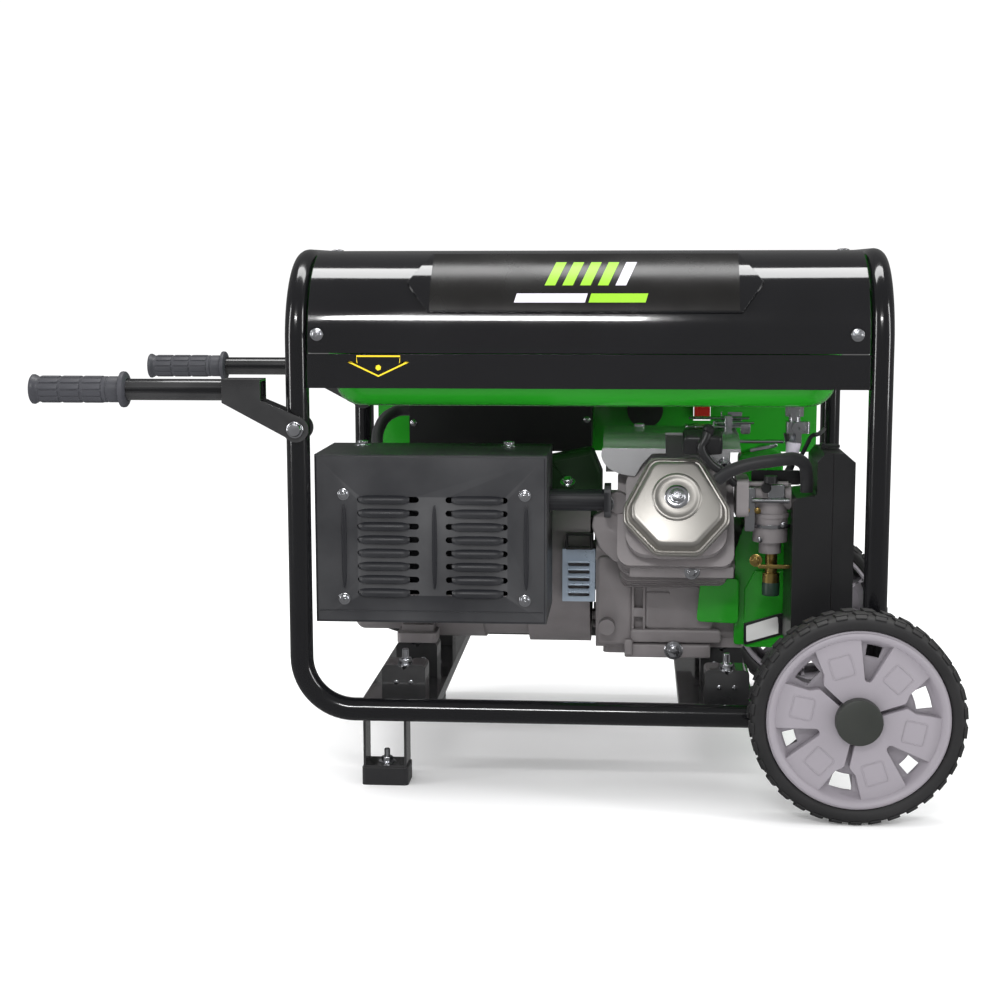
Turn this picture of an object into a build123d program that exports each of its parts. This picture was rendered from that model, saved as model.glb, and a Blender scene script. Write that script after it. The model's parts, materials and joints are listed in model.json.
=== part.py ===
"""Portable open-frame generator: bent tube frame, petrol engine and alternator on rubber
mounts, fuel tank on top, two wheels at one end and two folding handles at the other.
Millimetres, +Z up, floor at z = 0.  +X runs from the handles to the wheels, the muffler
side faces -Y and the control panel faces +Y."""
import os
from math import cos, radians, sin, tan

from build123d import *

os.makedirs("parts", exist_ok=True)

# ---------------------------------------------------------------- driving dimensions
FRAME_LEFT, FRAME_RIGHT = -235.0, 453.0  # outer faces of the uprights along X
TUBE_R, TUBE_WALL = 13.5, 1.8
SIDE_Y = 246.0                           # centreline of each hoop's side
RAIL_Z = 102.5                           # centreline of the bottom rails
TOP_Z = 624.5                            # centreline of the top cross-bars
TOP_BEND, LOW_BEND = 95.0, 62.0          # centreline bend radii

WHEEL_X, WHEEL_R, WHEEL_W = 414.0, 120.0, 48.0
WHEEL_Y = 305.0                          # middle plane of each wheel
AXLE_R, AXLE_FIT = 8.0, 0.05
RIM_R = 98.0

PIVOT_X, PIVOT_Z = FRAME_LEFT + TUBE_R, 433.0
HANDLE_Z, HANDLE_END, HANDLE_R = 477.0, -534.0, 12.5
GRIP_R, GRIP_LEN = 15.5, 107.0

CROSS_W, CROSS_Z, CROSS_H = 90.0, 89.0, 14.0
CROSS_LEFT, CROSS_RIGHT = -113.0, 266.0  # centres of the cross-members
FOOT_X, FOOT_Y, FOOT_W = -130.0, 190.0, 54.0
PAD_H = 21.0

RAIL_TOP, RAIL_LOW = 519.0, 480.0        # tank side rails
COVER_LEFT, COVER_RIGHT = FRAME_LEFT + 2 * TUBE_R + 1, FRAME_RIGHT - 2 * TUBE_R - 1
SHEET = 1.6

CRANK_Y, CRANK_Z = 30.0, 235.0           # crankshaft axis, along X
TILT = 25.0                              # cylinder's rise from the horizontal
BORE_X = 214.5                           # cylinder axis along X
CASE_LEFT, CASE_RIGHT = 119.0, 290.0
FAN_LEFT, FAN_RIGHT = 303.0, 352.0
ALT_LEFT, ALT_R = -196.0, 100.0
SHAFT_R = 15.0

TANK_LEFT, TANK_RIGHT, TANK_HALF, TANK_LOW, TANK_TOP = -190.0, 398.0, 214.0, 455.0, 606.0
CAP_X, CAP_Y = 60.0, 0.0
NECK_R = 28.0

SIDES = (("back", -1), ("front", 1))


def bore_plane(distance):
    """Plane square to the cylinder axis, that far from the crankshaft."""
    rise, run = sin(radians(TILT)), cos(radians(TILT))
    return Plane(
        origin=(BORE_X, CRANK_Y - run * distance, CRANK_Z + rise * distance),
        x_dir=(1, 0, 0),
        z_dir=(0, -run, rise),
    )


def x_plane(x, y=CRANK_Y, z=CRANK_Z):
    """Plane facing +X, with its local axes along +Y and +Z."""
    return Plane(origin=(x, y, z), x_dir=(0, 1, 0), z_dir=(1, 0, 0))


def back_plane(x, y, z):
    """Plane facing -Y, with its local axes along +X and +Z."""
    return Plane(origin=(x, y, z), x_dir=(1, 0, 0), z_dir=(0, -1, 0))


def route(points):
    """Straight runs joined by the largest tangent arcs that they allow."""
    corners = [Vector(*p) for p in points]
    radii = []
    for a, b, c in zip(corners, corners[1:], corners[2:]):
        shorter = min((b - a).length, (c - b).length)
        radii.append(0.45 * shorter / tan(radians((b - a).get_angle(c - b) / 2)))
    with BuildLine() as line:
        FilletPolyline(*points, radius=radii)
    return line.wires()[0], [round(r) for r in radii]


def swept(points, radius):
    """A round hose or lead along a route."""
    path, radii = route(points)
    with BuildPart() as hose:
        with BuildSketch(Plane(origin=path @ 0, z_dir=path % 0)):
            Circle(radius)
        sweep(path=path)
    print("route radii", radii, "volume ratio", round(hose.part.volume / (3.14159 * radius**2 * path.length), 3))
    return hose


# ---------------------------------------------------------------- tube frame
def hoop(side):
    """One bent tube: half of both top cross-bars, two uprights and a bottom rail."""
    x0, x1, y = FRAME_LEFT + TUBE_R, FRAME_RIGHT - TUBE_R, side * SIDE_Y
    with BuildLine() as path:
        FilletPolyline(
            (x0, 0, TOP_Z), (x0, y, TOP_Z), (x0, y, RAIL_Z), (x1, y, RAIL_Z), (x1, y, TOP_Z), (x1, 0, TOP_Z),
            radius=[TOP_BEND, LOW_BEND, LOW_BEND, TOP_BEND],
        )
    with BuildPart() as tube:
        with BuildSketch(Plane(origin=(x0, 0, TOP_Z), z_dir=(0, side, 0))):
            Circle(TUBE_R)
            Circle(TUBE_R - TUBE_WALL, mode=Mode.SUBTRACT)
        sweep(path=path.line)
    return tube


for label, side in SIDES:
    hoop_tube = hoop(side)
    hoop_tube.part.label = f"hoop_{label}"
    export_step(hoop_tube.part, f"parts/hoop_{label}.step")


def cross_member(x):
    """Flat box section between the two bottom rails."""
    with BuildPart() as member:
        with BuildSketch(Plane(origin=(x, SIDE_Y - TUBE_R, CROSS_Z), x_dir=(1, 0, 0), z_dir=(0, -1, 0))):
            Rectangle(CROSS_W, CROSS_H, align=(Align.CENTER, Align.MIN))
            with Locations((0, 2.5)):
                Rectangle(CROSS_W - 5, CROSS_H - 5, align=(Align.CENTER, Align.MIN), mode=Mode.SUBTRACT)
        extrude(amount=2 * (SIDE_Y - TUBE_R))
    return member


for label, x in (("left", CROSS_LEFT), ("right", CROSS_RIGHT)):
    member = cross_member(x)
    member.part.label = f"cross_member_{label}"
    export_step(member.part, f"parts/cross_member_{label}.step")

# Rubber mounts in pressed saddles with two rounded ears
MOUNT_ROWS = (-187.0, -61.0, 125.0)
MOUNT_XS = (-107.0, 276.0)
MOUNT_TOP, EAR_TOP = 38.0, 44.0
MOUNT_PAD = CROSS_Z + CROSS_H + EAR_TOP
with BuildPart() as mounts:
    for x in MOUNT_XS:
        for y in MOUNT_ROWS:
            with BuildSketch(back_plane(x, y + 20, CROSS_Z + CROSS_H)):
                with BuildLine():
                    Polyline(
                        (-26, 0), (-26, EAR_TOP), (-8, EAR_TOP), (0, MOUNT_TOP), (8, EAR_TOP), (26, EAR_TOP), (26, 0),
                        close=True,
                    )
                make_face()
                fillet(vertices().group_by(Axis.Y)[-1], radius=6)
            extrude(amount=40)
mounts.part.label = "rubber_mounts"
export_step(mounts.part, "parts/rubber_mounts.step")

# Feet: bent strap under the left cross-member, and a rubber block
with BuildPart() as straps:
    for _, side in SIDES:
        with BuildSketch(back_plane(FOOT_X, side * FOOT_Y + 19, 0)):
            with Locations((0, PAD_H)):
                Rectangle(FOOT_W - 2, CROSS_Z - PAD_H, align=(Align.CENTER, Align.MIN))
            with Locations((0, PAD_H + 3)):
                Rectangle(FOOT_W - 8, CROSS_Z - PAD_H, align=(Align.CENTER, Align.MIN), mode=Mode.SUBTRACT)
        extrude(amount=38)
straps.part.label = "foot_straps"
export_step(straps.part, "parts/foot_straps.step")

with BuildPart() as pads:
    for _, side in SIDES:
        with BuildSketch(Plane.XY):
            with Locations((FOOT_X, side * FOOT_Y)):
                RectangleRounded(FOOT_W + 2, 42, 5)
        extrude(amount=PAD_H)
pads.part.label = "foot_pads"
export_step(pads.part, "parts/foot_pads.step")

# Axle bracket plate welded to each hoop's lower corner, with its stub axle and end washer
BRACKET_Y = SIDE_Y + TUBE_R
AXLE_END = WHEEL_Y + WHEEL_W / 2 + 1
with BuildPart() as axles:
    for _, side in SIDES:
        outward = Plane(origin=(WHEEL_X, side * BRACKET_Y, WHEEL_R), x_dir=(1, 0, 0), z_dir=(0, side, 0))
        with BuildSketch(outward):
            RectangleRounded(64, 58, 8)
        extrude(amount=4)
        with BuildSketch(outward):
            Circle(13)
        extrude(amount=WHEEL_Y - WHEEL_W / 2 - BRACKET_Y - 0.5)
        with BuildSketch(outward):
            Circle(AXLE_R)
        extrude(amount=AXLE_END - BRACKET_Y + 5)
        with BuildSketch(Plane(origin=(WHEEL_X, side * AXLE_END, WHEEL_R), x_dir=(1, 0, 0), z_dir=(0, side, 0))):
            Circle(14)
        extrude(amount=2.5)
axles.part.label = "stub_axles"
export_step(axles.part, "parts/stub_axles.step")


# ---------------------------------------------------------------- wheels
def wheel_plane(side, y):
    """Plane across the wheel, y counted outwards from the wheel's middle plane."""
    return Plane(origin=(WHEEL_X, side * (WHEEL_Y + y), WHEEL_R), x_dir=(side * -1, 0, 0), z_dir=(0, side, 0))


def tyre(side):
    """Moulded tyre with two rows of shoulder lugs."""
    half = WHEEL_W / 2
    with BuildPart() as ring:
        with BuildSketch(Plane(origin=(WHEEL_X, side * WHEEL_Y, WHEEL_R), x_dir=(1, 0, 0), z_dir=(0, 0, 1))):
            with BuildLine():
                Polyline(
                    (RIM_R, -half + 3), (WHEEL_R - 8, -half), (WHEEL_R - 2.6, -half + 8),
                    (WHEEL_R - 2, 0), (WHEEL_R - 2.6, half - 8), (WHEEL_R - 8, half), (RIM_R, half - 3), close=True,
                )
            make_face()
        revolve(axis=Axis((WHEEL_X, side * WHEEL_Y, WHEEL_R), (0, 1, 0)))
        with BuildSketch(wheel_plane(side, -half + 1)):
            with PolarLocations(WHEEL_R - 4, 44):
                Rectangle(8, 8.6)
        extrude(amount=half - 3)
        with BuildSketch(wheel_plane(side, 2)):
            with PolarLocations(WHEEL_R - 4, 44, start_angle=4.1):
                Rectangle(8, 8.6)
        extrude(amount=half - 3)
        with BuildSketch(wheel_plane(side, -half - 1)):
            Circle(WHEEL_R)
        extrude(amount=WHEEL_W + 2, mode=Mode.INTERSECT)
    return ring


def rim(side):
    """Dished plastic rim: barrel, thin web, six raised petals, hub and back ribs."""
    half = WHEEL_W / 2
    with BuildPart() as disc:
        with BuildSketch(wheel_plane(side, -half + 2)):
            Circle(RIM_R)
            Circle(RIM_R - 6, mode=Mode.SUBTRACT)
        extrude(amount=WHEEL_W - 4)
        with BuildSketch(wheel_plane(side, 2)):
            Circle(RIM_R - 3)
            Circle(AXLE_R + AXLE_FIT, mode=Mode.SUBTRACT)
            with PolarLocations(81, 3, start_angle=18):
                SlotOverall(20, 9, rotation=90)
        extrude(amount=4)
        with BuildSketch(wheel_plane(side, 5)):
            for k in range(6):
                with BuildLine():
                    a0, a1 = radians(60 * k - 12 - 26), radians(60 * k - 12 + 26)
                    am = radians(60 * k - 12)
                    Polyline(
                        (24 * cos(a0), 24 * sin(a0)), (64 * cos(a0 + 0.03), 64 * sin(a0 + 0.03)),
                        (88 * cos(a0 + 0.14), 88 * sin(a0 + 0.14)),
                    )
                    ThreePointArc(
                        (88 * cos(a0 + 0.14), 88 * sin(a0 + 0.14)), (88 * cos(am), 88 * sin(am)),
                        (88 * cos(a1 - 0.14), 88 * sin(a1 - 0.14)),
                    )
                    Polyline(
                        (88 * cos(a1 - 0.14), 88 * sin(a1 - 0.14)), (64 * cos(a1 - 0.03), 64 * sin(a1 - 0.03)),
                        (24 * cos(a1), 24 * sin(a1)), (24 * cos(a0), 24 * sin(a0)),
                    )
                make_face()
        extrude(amount=12)
        with BuildSketch(wheel_plane(side, 15.5)):
            with PolarLocations(62, 6, start_angle=-12):
                RectangleRounded(20, 24, 3)
                RectangleRounded(17, 21, 2, mode=Mode.SUBTRACT)
        extrude(amount=3, mode=Mode.SUBTRACT)
        with BuildSketch(wheel_plane(side, -half + 0.5)):
            Circle(23)
            Circle(AXLE_R + AXLE_FIT, mode=Mode.SUBTRACT)
        extrude(amount=WHEEL_W - 5)
        with BuildSketch(wheel_plane(side, -16)):
            with PolarLocations(57, 12):
                Rectangle(72, 3)
        extrude(amount=19)
    return disc


def hub_cap(side):
    """Push-on cap over the axle's end washer."""
    with BuildPart() as cap:
        with BuildSketch(wheel_plane(side, WHEEL_W / 2 - 4.5)):
            Circle(26)
        extrude(amount=14)
        fillet(cap.faces().sort_by(Axis.Y)[-1 if side > 0 else 0].edges(), radius=3)
        with BuildSketch(wheel_plane(side, WHEEL_W / 2 - 4.5)):
            Circle(22)
        extrude(amount=12, mode=Mode.SUBTRACT)
    return cap


for label, side in SIDES:
    tyre_ring = tyre(side)
    tyre_ring.part.label = f"tyre_{label}"
    export_step(tyre_ring.part, f"parts/tyre_{label}.step")
    rim_disc = rim(side)
    rim_disc.part.label = f"rim_{label}"
    export_step(rim_disc.part, f"parts/rim_{label}.step")
    cap = hub_cap(side)
    cap.part.label = f"hub_cap_{label}"
    export_step(cap.part, f"parts/hub_cap_{label}.step")


# ---------------------------------------------------------------- folding handles
CHEEK_GAP = TUBE_R + 0.6
CHEEK_T = 2.4
BOLT_R = 5.0


def handle(side):
    """Tube welded into a folded bracket whose cheeks straddle the upright."""
    y = side * SIDE_Y
    with BuildPart() as arm:
        for edge in (-1, 1):
            inner = y + edge * CHEEK_GAP
            plane = Plane(origin=(PIVOT_X, inner, PIVOT_Z), x_dir=(-edge, 0, 0), z_dir=(0, edge, 0))
            with BuildSketch(plane):
                with BuildLine():
                    flip = -edge
                    Polyline(
                        *[(flip * px, pz) for px, pz in (
                            (-85, 57), (-40, 57), (-40, 33), (8, 13), (-12, -9), (-85, 30),
                        )], close=True,
                    )
                make_face()
                Circle(15)
                Circle(BOLT_R + 0.05, mode=Mode.SUBTRACT)
            extrude(amount=CHEEK_T)
        with BuildSketch(Plane(origin=(PIVOT_X - 85, y, HANDLE_Z), x_dir=(0, 1, 0), z_dir=(1, 0, 0))):
            with Locations((0, HANDLE_R)):
                Rectangle(2 * (CHEEK_GAP + CHEEK_T), CHEEK_T, align=(Align.CENTER, Align.MAX))
        extrude(amount=45)
        with BuildSketch(Plane(origin=(HANDLE_END + 5, y, HANDLE_Z), x_dir=(0, 1, 0), z_dir=(1, 0, 0))):
            Circle(HANDLE_R)
        extrude(amount=PIVOT_X - 42 - HANDLE_END - 5)
        with BuildSketch(Plane(origin=(HANDLE_END + 4, y, HANDLE_Z), x_dir=(0, 1, 0), z_dir=(1, 0, 0))):
            Circle(HANDLE_R - TUBE_WALL)
        extrude(amount=PIVOT_X - 42 - HANDLE_END, mode=Mode.SUBTRACT)
        with BuildSketch(Plane(origin=(PIVOT_X - 78, y, HANDLE_Z), x_dir=(0, 1, 0), z_dir=(1, 0, 0))):
            Rectangle(2 * CHEEK_GAP + 1, 6)
            Circle(HANDLE_R - 0.5, mode=Mode.SUBTRACT)
        extrude(amount=34)
    return arm


def grip(side):
    """Rubber grip with an end flange, pushed over the handle tube."""
    with BuildPart() as sleeve:
        with BuildSketch(Plane(origin=(HANDLE_END, side * SIDE_Y, HANDLE_Z), x_dir=(1, 0, 0), z_dir=(0, -1, 0))):
            with BuildLine():
                Polyline(
                    (0, 0), (0, 16.5), (3, 17.5), (7, GRIP_R + 0.5), (10, GRIP_R), (GRIP_LEN - 18, GRIP_R),
                    (GRIP_LEN - 16, 13.9), (GRIP_LEN - 1, 14.2), (GRIP_LEN, 20.5), (GRIP_LEN + 6, 21), (GRIP_LEN + 7.5, 20),
                    (GRIP_LEN + 7.5, HANDLE_R), (5, HANDLE_R), (5, 0), close=True,
                )
            make_face()
        revolve(axis=Axis((HANDLE_END, side * SIDE_Y, HANDLE_Z), (1, 0, 0)))
        with BuildSketch(Plane(origin=(HANDLE_END + 14, side * SIDE_Y, HANDLE_Z), x_dir=(0, 1, 0), z_dir=(1, 0, 0))):
            with PolarLocations(GRIP_R, 12):
                Rectangle(2, 1.6)
        extrude(amount=22, mode=Mode.SUBTRACT)
        with BuildSketch(Plane(origin=(HANDLE_END + 40, side * SIDE_Y, HANDLE_Z), x_dir=(0, 1, 0), z_dir=(1, 0, 0))):
            with PolarLocations(GRIP_R, 12):
                Rectangle(2, 1.6)
        extrude(amount=20, mode=Mode.SUBTRACT)
        with BuildSketch(Plane(origin=(HANDLE_END + 64, side * SIDE_Y, HANDLE_Z), x_dir=(0, 1, 0), z_dir=(1, 0, 0))):
            with PolarLocations(GRIP_R, 12):
                Rectangle(2, 1.6)
        extrude(amount=20, mode=Mode.SUBTRACT)
    return sleeve


for label, side in SIDES:
    arm = handle(side)
    arm.part.label = f"handle_{label}"
    export_step(arm.part, f"parts/handle_{label}.step")
    sleeve = grip(side)
    sleeve.part.label = f"grip_{label}"
    export_step(sleeve.part, f"parts/grip_{label}.step")

# Pivot bolt outside each cheek: shank through the upright, domed head and nut
with BuildPart() as pivots:
    for _, side in SIDES:
        for edge in (-1, 1):
            face = side * SIDE_Y + edge * TUBE_R
            plane = Plane(origin=(PIVOT_X, face, PIVOT_Z), x_dir=(1, 0, 0), z_dir=(0, edge, 0))
            with BuildSketch(plane):
                Circle(BOLT_R)
            extrude(amount=CHEEK_T + 1.2)
            with BuildSketch(plane.offset(CHEEK_T + 0.9)):
                Circle(9)
            extrude(amount=1.5)
            with BuildSketch(plane.offset(CHEEK_T + 2.4)):
                RegularPolygon(6.8, 6)
            extrude(amount=4)
pivots.part.label = "pivot_bolts"
export_step(pivots.part, "parts/pivot_bolts.step")


# ---------------------------------------------------------------- tank rails, covers, tank
with BuildPart() as tank_rails:
    for _, side in SIDES:
        outer = side * (SIDE_Y + TUBE_R - 3)
        with BuildSketch(x_plane(COVER_LEFT - 1, outer, RAIL_LOW)):
            with BuildLine():
                d = -side
                Polyline(
                    (0, 0), (0, RAIL_TOP - RAIL_LOW), (d * 24, RAIL_TOP - RAIL_LOW),
                    (d * 24, RAIL_TOP - RAIL_LOW - 2), (d * 2, RAIL_TOP - RAIL_LOW - 2), (d * 2, 2), (d * 24, 2), (d * 24, 0),
                    close=True,
                )
            make_face()
        extrude(amount=COVER_RIGHT - COVER_LEFT + 2)
tank_rails.part.label = "tank_rails"
export_step(tank_rails.part, "parts/tank_rails.step")

COVER_R = TOP_BEND + TUBE_R - 2.0
COVER_CY, COVER_CZ = SIDE_Y - TOP_BEND, TOP_Z - TOP_BEND
EMBOSS = 3.0


def cover_band(side, start_x, inner, outer, low, far):
    """Section of a bent sheet: a vertical face, a quarter bend and a flat top."""
    cy = side * COVER_CY
    k = cos(radians(45))
    with BuildSketch(x_plane(start_x, 0, 0)) as band:
        with BuildLine():
            Line((cy + side * outer, low), (cy + side * outer, COVER_CZ))
            ThreePointArc(
                (cy + side * outer, COVER_CZ), (cy + side * outer * k, COVER_CZ + outer * k), (cy, COVER_CZ + outer),
            )
            Polyline(
                (cy, COVER_CZ + outer), (side * far, COVER_CZ + outer),
                (side * far, COVER_CZ + inner), (cy, COVER_CZ + inner),
            )
            ThreePointArc(
                (cy, COVER_CZ + inner), (cy + side * inner * k, COVER_CZ + inner * k), (cy + side * inner, COVER_CZ),
            )
            Polyline((cy + side * inner, COVER_CZ), (cy + side * inner, low), (cy + side * outer, low))
        make_face()
    return band.sketch


def side_cover(side):
    """Sheet cover over the tank's side, with a long pressed-out hexagonal panel."""
    with BuildPart() as panel:
        extrude(to_extrude=cover_band(side, -96, COVER_R - 0.5, COVER_R + EMBOSS, 500, 140), amount=406)
        with BuildSketch(Plane.XZ):
            Polygon((-95, 600), (-70, 632), (282, 632), (308, 600), (284, 566), (-70, 566), align=None)
        extrude(amount=300, both=True, mode=Mode.INTERSECT)
    with BuildPart() as cover:
        extrude(
            to_extrude=cover_band(side, COVER_LEFT, COVER_R - SHEET, COVER_R, RAIL_TOP + 1, 96),
            amount=COVER_RIGHT - COVER_LEFT,
        )
        add(panel.part)
    return cover


for label, side in SIDES:
    cover = side_cover(side)
    cover.part.label = f"side_cover_{label}"
    export_step(cover.part, f"parts/side_cover_{label}.step")


with BuildPart() as tank:
    with BuildSketch(Plane.XY.offset(TANK_LOW)):
        with Locations(((TANK_LEFT + TANK_RIGHT) / 2, 0)):
            RectangleRounded(TANK_RIGHT - TANK_LEFT, 2 * TANK_HALF, 45)
    extrude(amount=TANK_TOP - TANK_LOW)
    fillet(tank.faces().group_by(Axis.Z)[-1].edges(), radius=24)
    fillet(tank.faces().group_by(Axis.Z)[0].edges(), radius=30)
    offset(amount=-SHEET, mode=Mode.SUBTRACT)
    with BuildSketch(Plane.XY.offset(RAIL_TOP + 0.5)):
        with Locations(((TANK_LEFT + TANK_RIGHT) / 2, 0)):
            RectangleRounded(TANK_RIGHT - TANK_LEFT + 12, 2 * TANK_HALF + 28, 48)
            RectangleRounded(TANK_RIGHT - TANK_LEFT - 1, 2 * TANK_HALF - 1, 44, mode=Mode.SUBTRACT)
    extrude(amount=3)
    with BuildSketch(Plane.XY.offset(TANK_TOP - SHEET)):
        with Locations((CAP_X, CAP_Y)):
            Circle(NECK_R)
    extrude(amount=12)
    with BuildSketch(Plane.XY.offset(TANK_TOP - 10)):
        with Locations((CAP_X, CAP_Y)):
            Circle(NECK_R - 2)
    extrude(amount=30, mode=Mode.SUBTRACT)
tank.part.label = "fuel_tank"
export_step(tank.part, "parts/fuel_tank.step")

with BuildPart() as fuel_cap:
    with BuildSketch(Plane.XY.offset(TANK_TOP + 1)):
        with Locations((CAP_X, CAP_Y)):
            Circle(36)
            with PolarLocations(36, 18):
                Circle(2.2)
    extrude(amount=22)
    chamfer(fuel_cap.faces().sort_by(Axis.Z)[-1].edges(), length=1)
    with BuildSketch(Plane.XY.offset(TANK_TOP + 1)):
        with Locations((CAP_X, CAP_Y)):
            Circle(NECK_R + 0.4)
    extrude(amount=12, mode=Mode.SUBTRACT)
fuel_cap.part.label = "fuel_cap"
export_step(fuel_cap.part, "parts/fuel_cap.step")

# Fuel tap: hex nut and body under the tank, sediment cup and hose spigot
TAP_X, TAP_Y = 356.0, -120.0
TAP_TOP = 447.0
with BuildPart() as tap:
    with BuildSketch(Plane.XY.offset(TANK_LOW)):
        with Locations((TAP_X, TAP_Y)):
            RegularPolygon(11, 6)
    extrude(amount=TAP_TOP - TANK_LOW - 8)
    with BuildSketch(Plane.XY.offset(TAP_TOP - 8)):
        with Locations((TAP_X, TAP_Y)):
            Circle(7)
    extrude(amount=-8)
    with BuildSketch(Plane.XY.offset(TAP_TOP - 14)):
        with Locations((TAP_X + 4, TAP_Y)):
            RectangleRounded(28, 20, 4)
    extrude(amount=-14)
    with BuildSketch(Plane.XY.offset(TAP_TOP - 28)):
        with Locations((TAP_X - 2, TAP_Y)):
            Circle(11)
    extrude(amount=-24, taper=12)
tap.part.label = "fuel_tap"
export_step(tap.part, "parts/fuel_tap.step")

with BuildPart() as tap_lever:
    with BuildSketch(back_plane(TAP_X + 4, TAP_Y - 11.8, TAP_TOP - 21)):
        Circle(8)
        with Locations((0, -10)):
            Rectangle(7, 22)
        Circle(1.5, mode=Mode.SUBTRACT)
    extrude(amount=4)
tap_lever.part.label = "tap_lever"
export_step(tap_lever.part, "parts/tap_lever.step")

# ---------------------------------------------------------------- control panel
PANEL_Y, PANEL_LOW = 236.0, 359.0
BOX_LEFT, BOX_RIGHT, BOX_DEPTH, BOX_LOW, BOX_TOP = -145.0, 107.0, 80.0, 366.0, 444.0
PLATE_H = RAIL_LOW - PANEL_LOW
PLATE_MID = (RAIL_LOW + PANEL_LOW) / 2
SOCKETS = ((-120.0, 23.0), (-50.0, 23.0), (20.0, 23.0))
BREAKER_X, SWITCH_X, METER_X = 86.0, 260.0, 180.0


def front_plane(x, y, z):
    """Plane facing +Y, with its local axes along -X and +Z."""
    return Plane(origin=(x, y, z), x_dir=(-1, 0, 0), z_dir=(0, 1, 0))


with BuildPart() as panel:
    with BuildSketch(front_plane(110, PANEL_Y, PLATE_MID)):
        RectangleRounded(620, PLATE_H, 8)
        with Locations((110 - SWITCH_X, 0)):
            Rectangle(24, 34, mode=Mode.SUBTRACT)
        with Locations((110 - BREAKER_X, 0)):
            Circle(9, mode=Mode.SUBTRACT)
        with Locations((110 - METER_X, 0)):
            Circle(25, mode=Mode.SUBTRACT)
        with Locations(*[(110 - x, 0) for x, _ in SOCKETS]):
            Circle(22, mode=Mode.SUBTRACT)
    extrude(amount=2)
panel.part.label = "control_panel"
export_step(panel.part, "parts/control_panel.step")

with BuildPart() as control_box:
    with BuildSketch(front_plane((BOX_LEFT + BOX_RIGHT) / 2, PANEL_Y - 0.1, (BOX_TOP + BOX_LOW) / 2)):
        RectangleRounded(BOX_RIGHT - BOX_LEFT, BOX_TOP - BOX_LOW, 6)
    extrude(amount=-BOX_DEPTH)
    with BuildSketch(front_plane((BOX_LEFT + BOX_RIGHT) / 2, PANEL_Y - 0.1, (BOX_TOP + BOX_LOW) / 2)):
        RectangleRounded(BOX_RIGHT - BOX_LEFT - 5, BOX_TOP - BOX_LOW - 5, 4)
    extrude(amount=-BOX_DEPTH + 2.5, mode=Mode.SUBTRACT)
control_box.part.label = "control_box"
export_step(control_box.part, "parts/control_box.step")

# Sockets with pin holes, and the round meter, behind and through the panel
with BuildPart() as fittings:
    for x, reach in SOCKETS:
        with BuildSketch(front_plane(x, PANEL_Y - 30, PLATE_MID)):
            Circle(21.9)
        extrude(amount=38)
        with BuildSketch(front_plane(x, PANEL_Y + 2, PLATE_MID)):
            RectangleRounded(56, 56, 6)
            Circle(21.5, mode=Mode.SUBTRACT)
        extrude(amount=4)
        with BuildSketch(front_plane(x, PANEL_Y + 8, PLATE_MID)):
            with Locations((-7, 4), (7, 4)):
                Rectangle(4.5, 11)
            with Locations((0, -9)):
                Circle(3.2)
        extrude(amount=-reach, mode=Mode.SUBTRACT)
    with BuildSketch(front_plane(METER_X, PANEL_Y - 34, PLATE_MID)):
        Circle(24.9)
    extrude(amount=36)
    with BuildSketch(front_plane(METER_X, PANEL_Y + 2, PLATE_MID)):
        Circle(30)
    extrude(amount=7)
fittings.part.label = "panel_fittings"
export_step(fittings.part, "parts/panel_fittings.step")

with BuildPart() as breaker:
    with BuildSketch(front_plane(BREAKER_X, PANEL_Y - 12, PLATE_MID)):
        Circle(8.7)
    extrude(amount=21)
breaker.part.label = "breaker_button"
export_step(breaker.part, "parts/breaker_button.step")

with BuildPart() as switch:
    with BuildSketch(x_plane(SWITCH_X - 11, PANEL_Y, PLATE_MID)):
        with BuildLine():
            Polyline((-9, -9), (-9, 9), (1, 13.5), (7.5, 13.5), (3.6, 0), (4.4, -13.5), (1, -13.5), close=True)
        make_face()
    extrude(amount=22)
switch.part.label = "engine_switch"
export_step(switch.part, "parts/engine_switch.step")

loom = swept(
    ((-145.3, 180, 420), (-164, 180, 420), (-182, 168, 410), (-190, 150, 388), (-184, 128, 362), (-168, 104, 343), (-152, 84, 333)),
    8.0,
)
loom.part.label = "wiring_loom"
export_step(loom.part, "parts/wiring_loom.step")

# ---------------------------------------------------------------- engine castings
CASE_LOW, CASE_TOP = 150.0, 318.0
CASE_Y0, CASE_Y1 = -82.0, 128.0
CAVITY_R = 62.0
CYL_R, CYL_OUTER = 44.0, 56.0
DECK, HEAD_TOP = 150.0, 234.0

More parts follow.
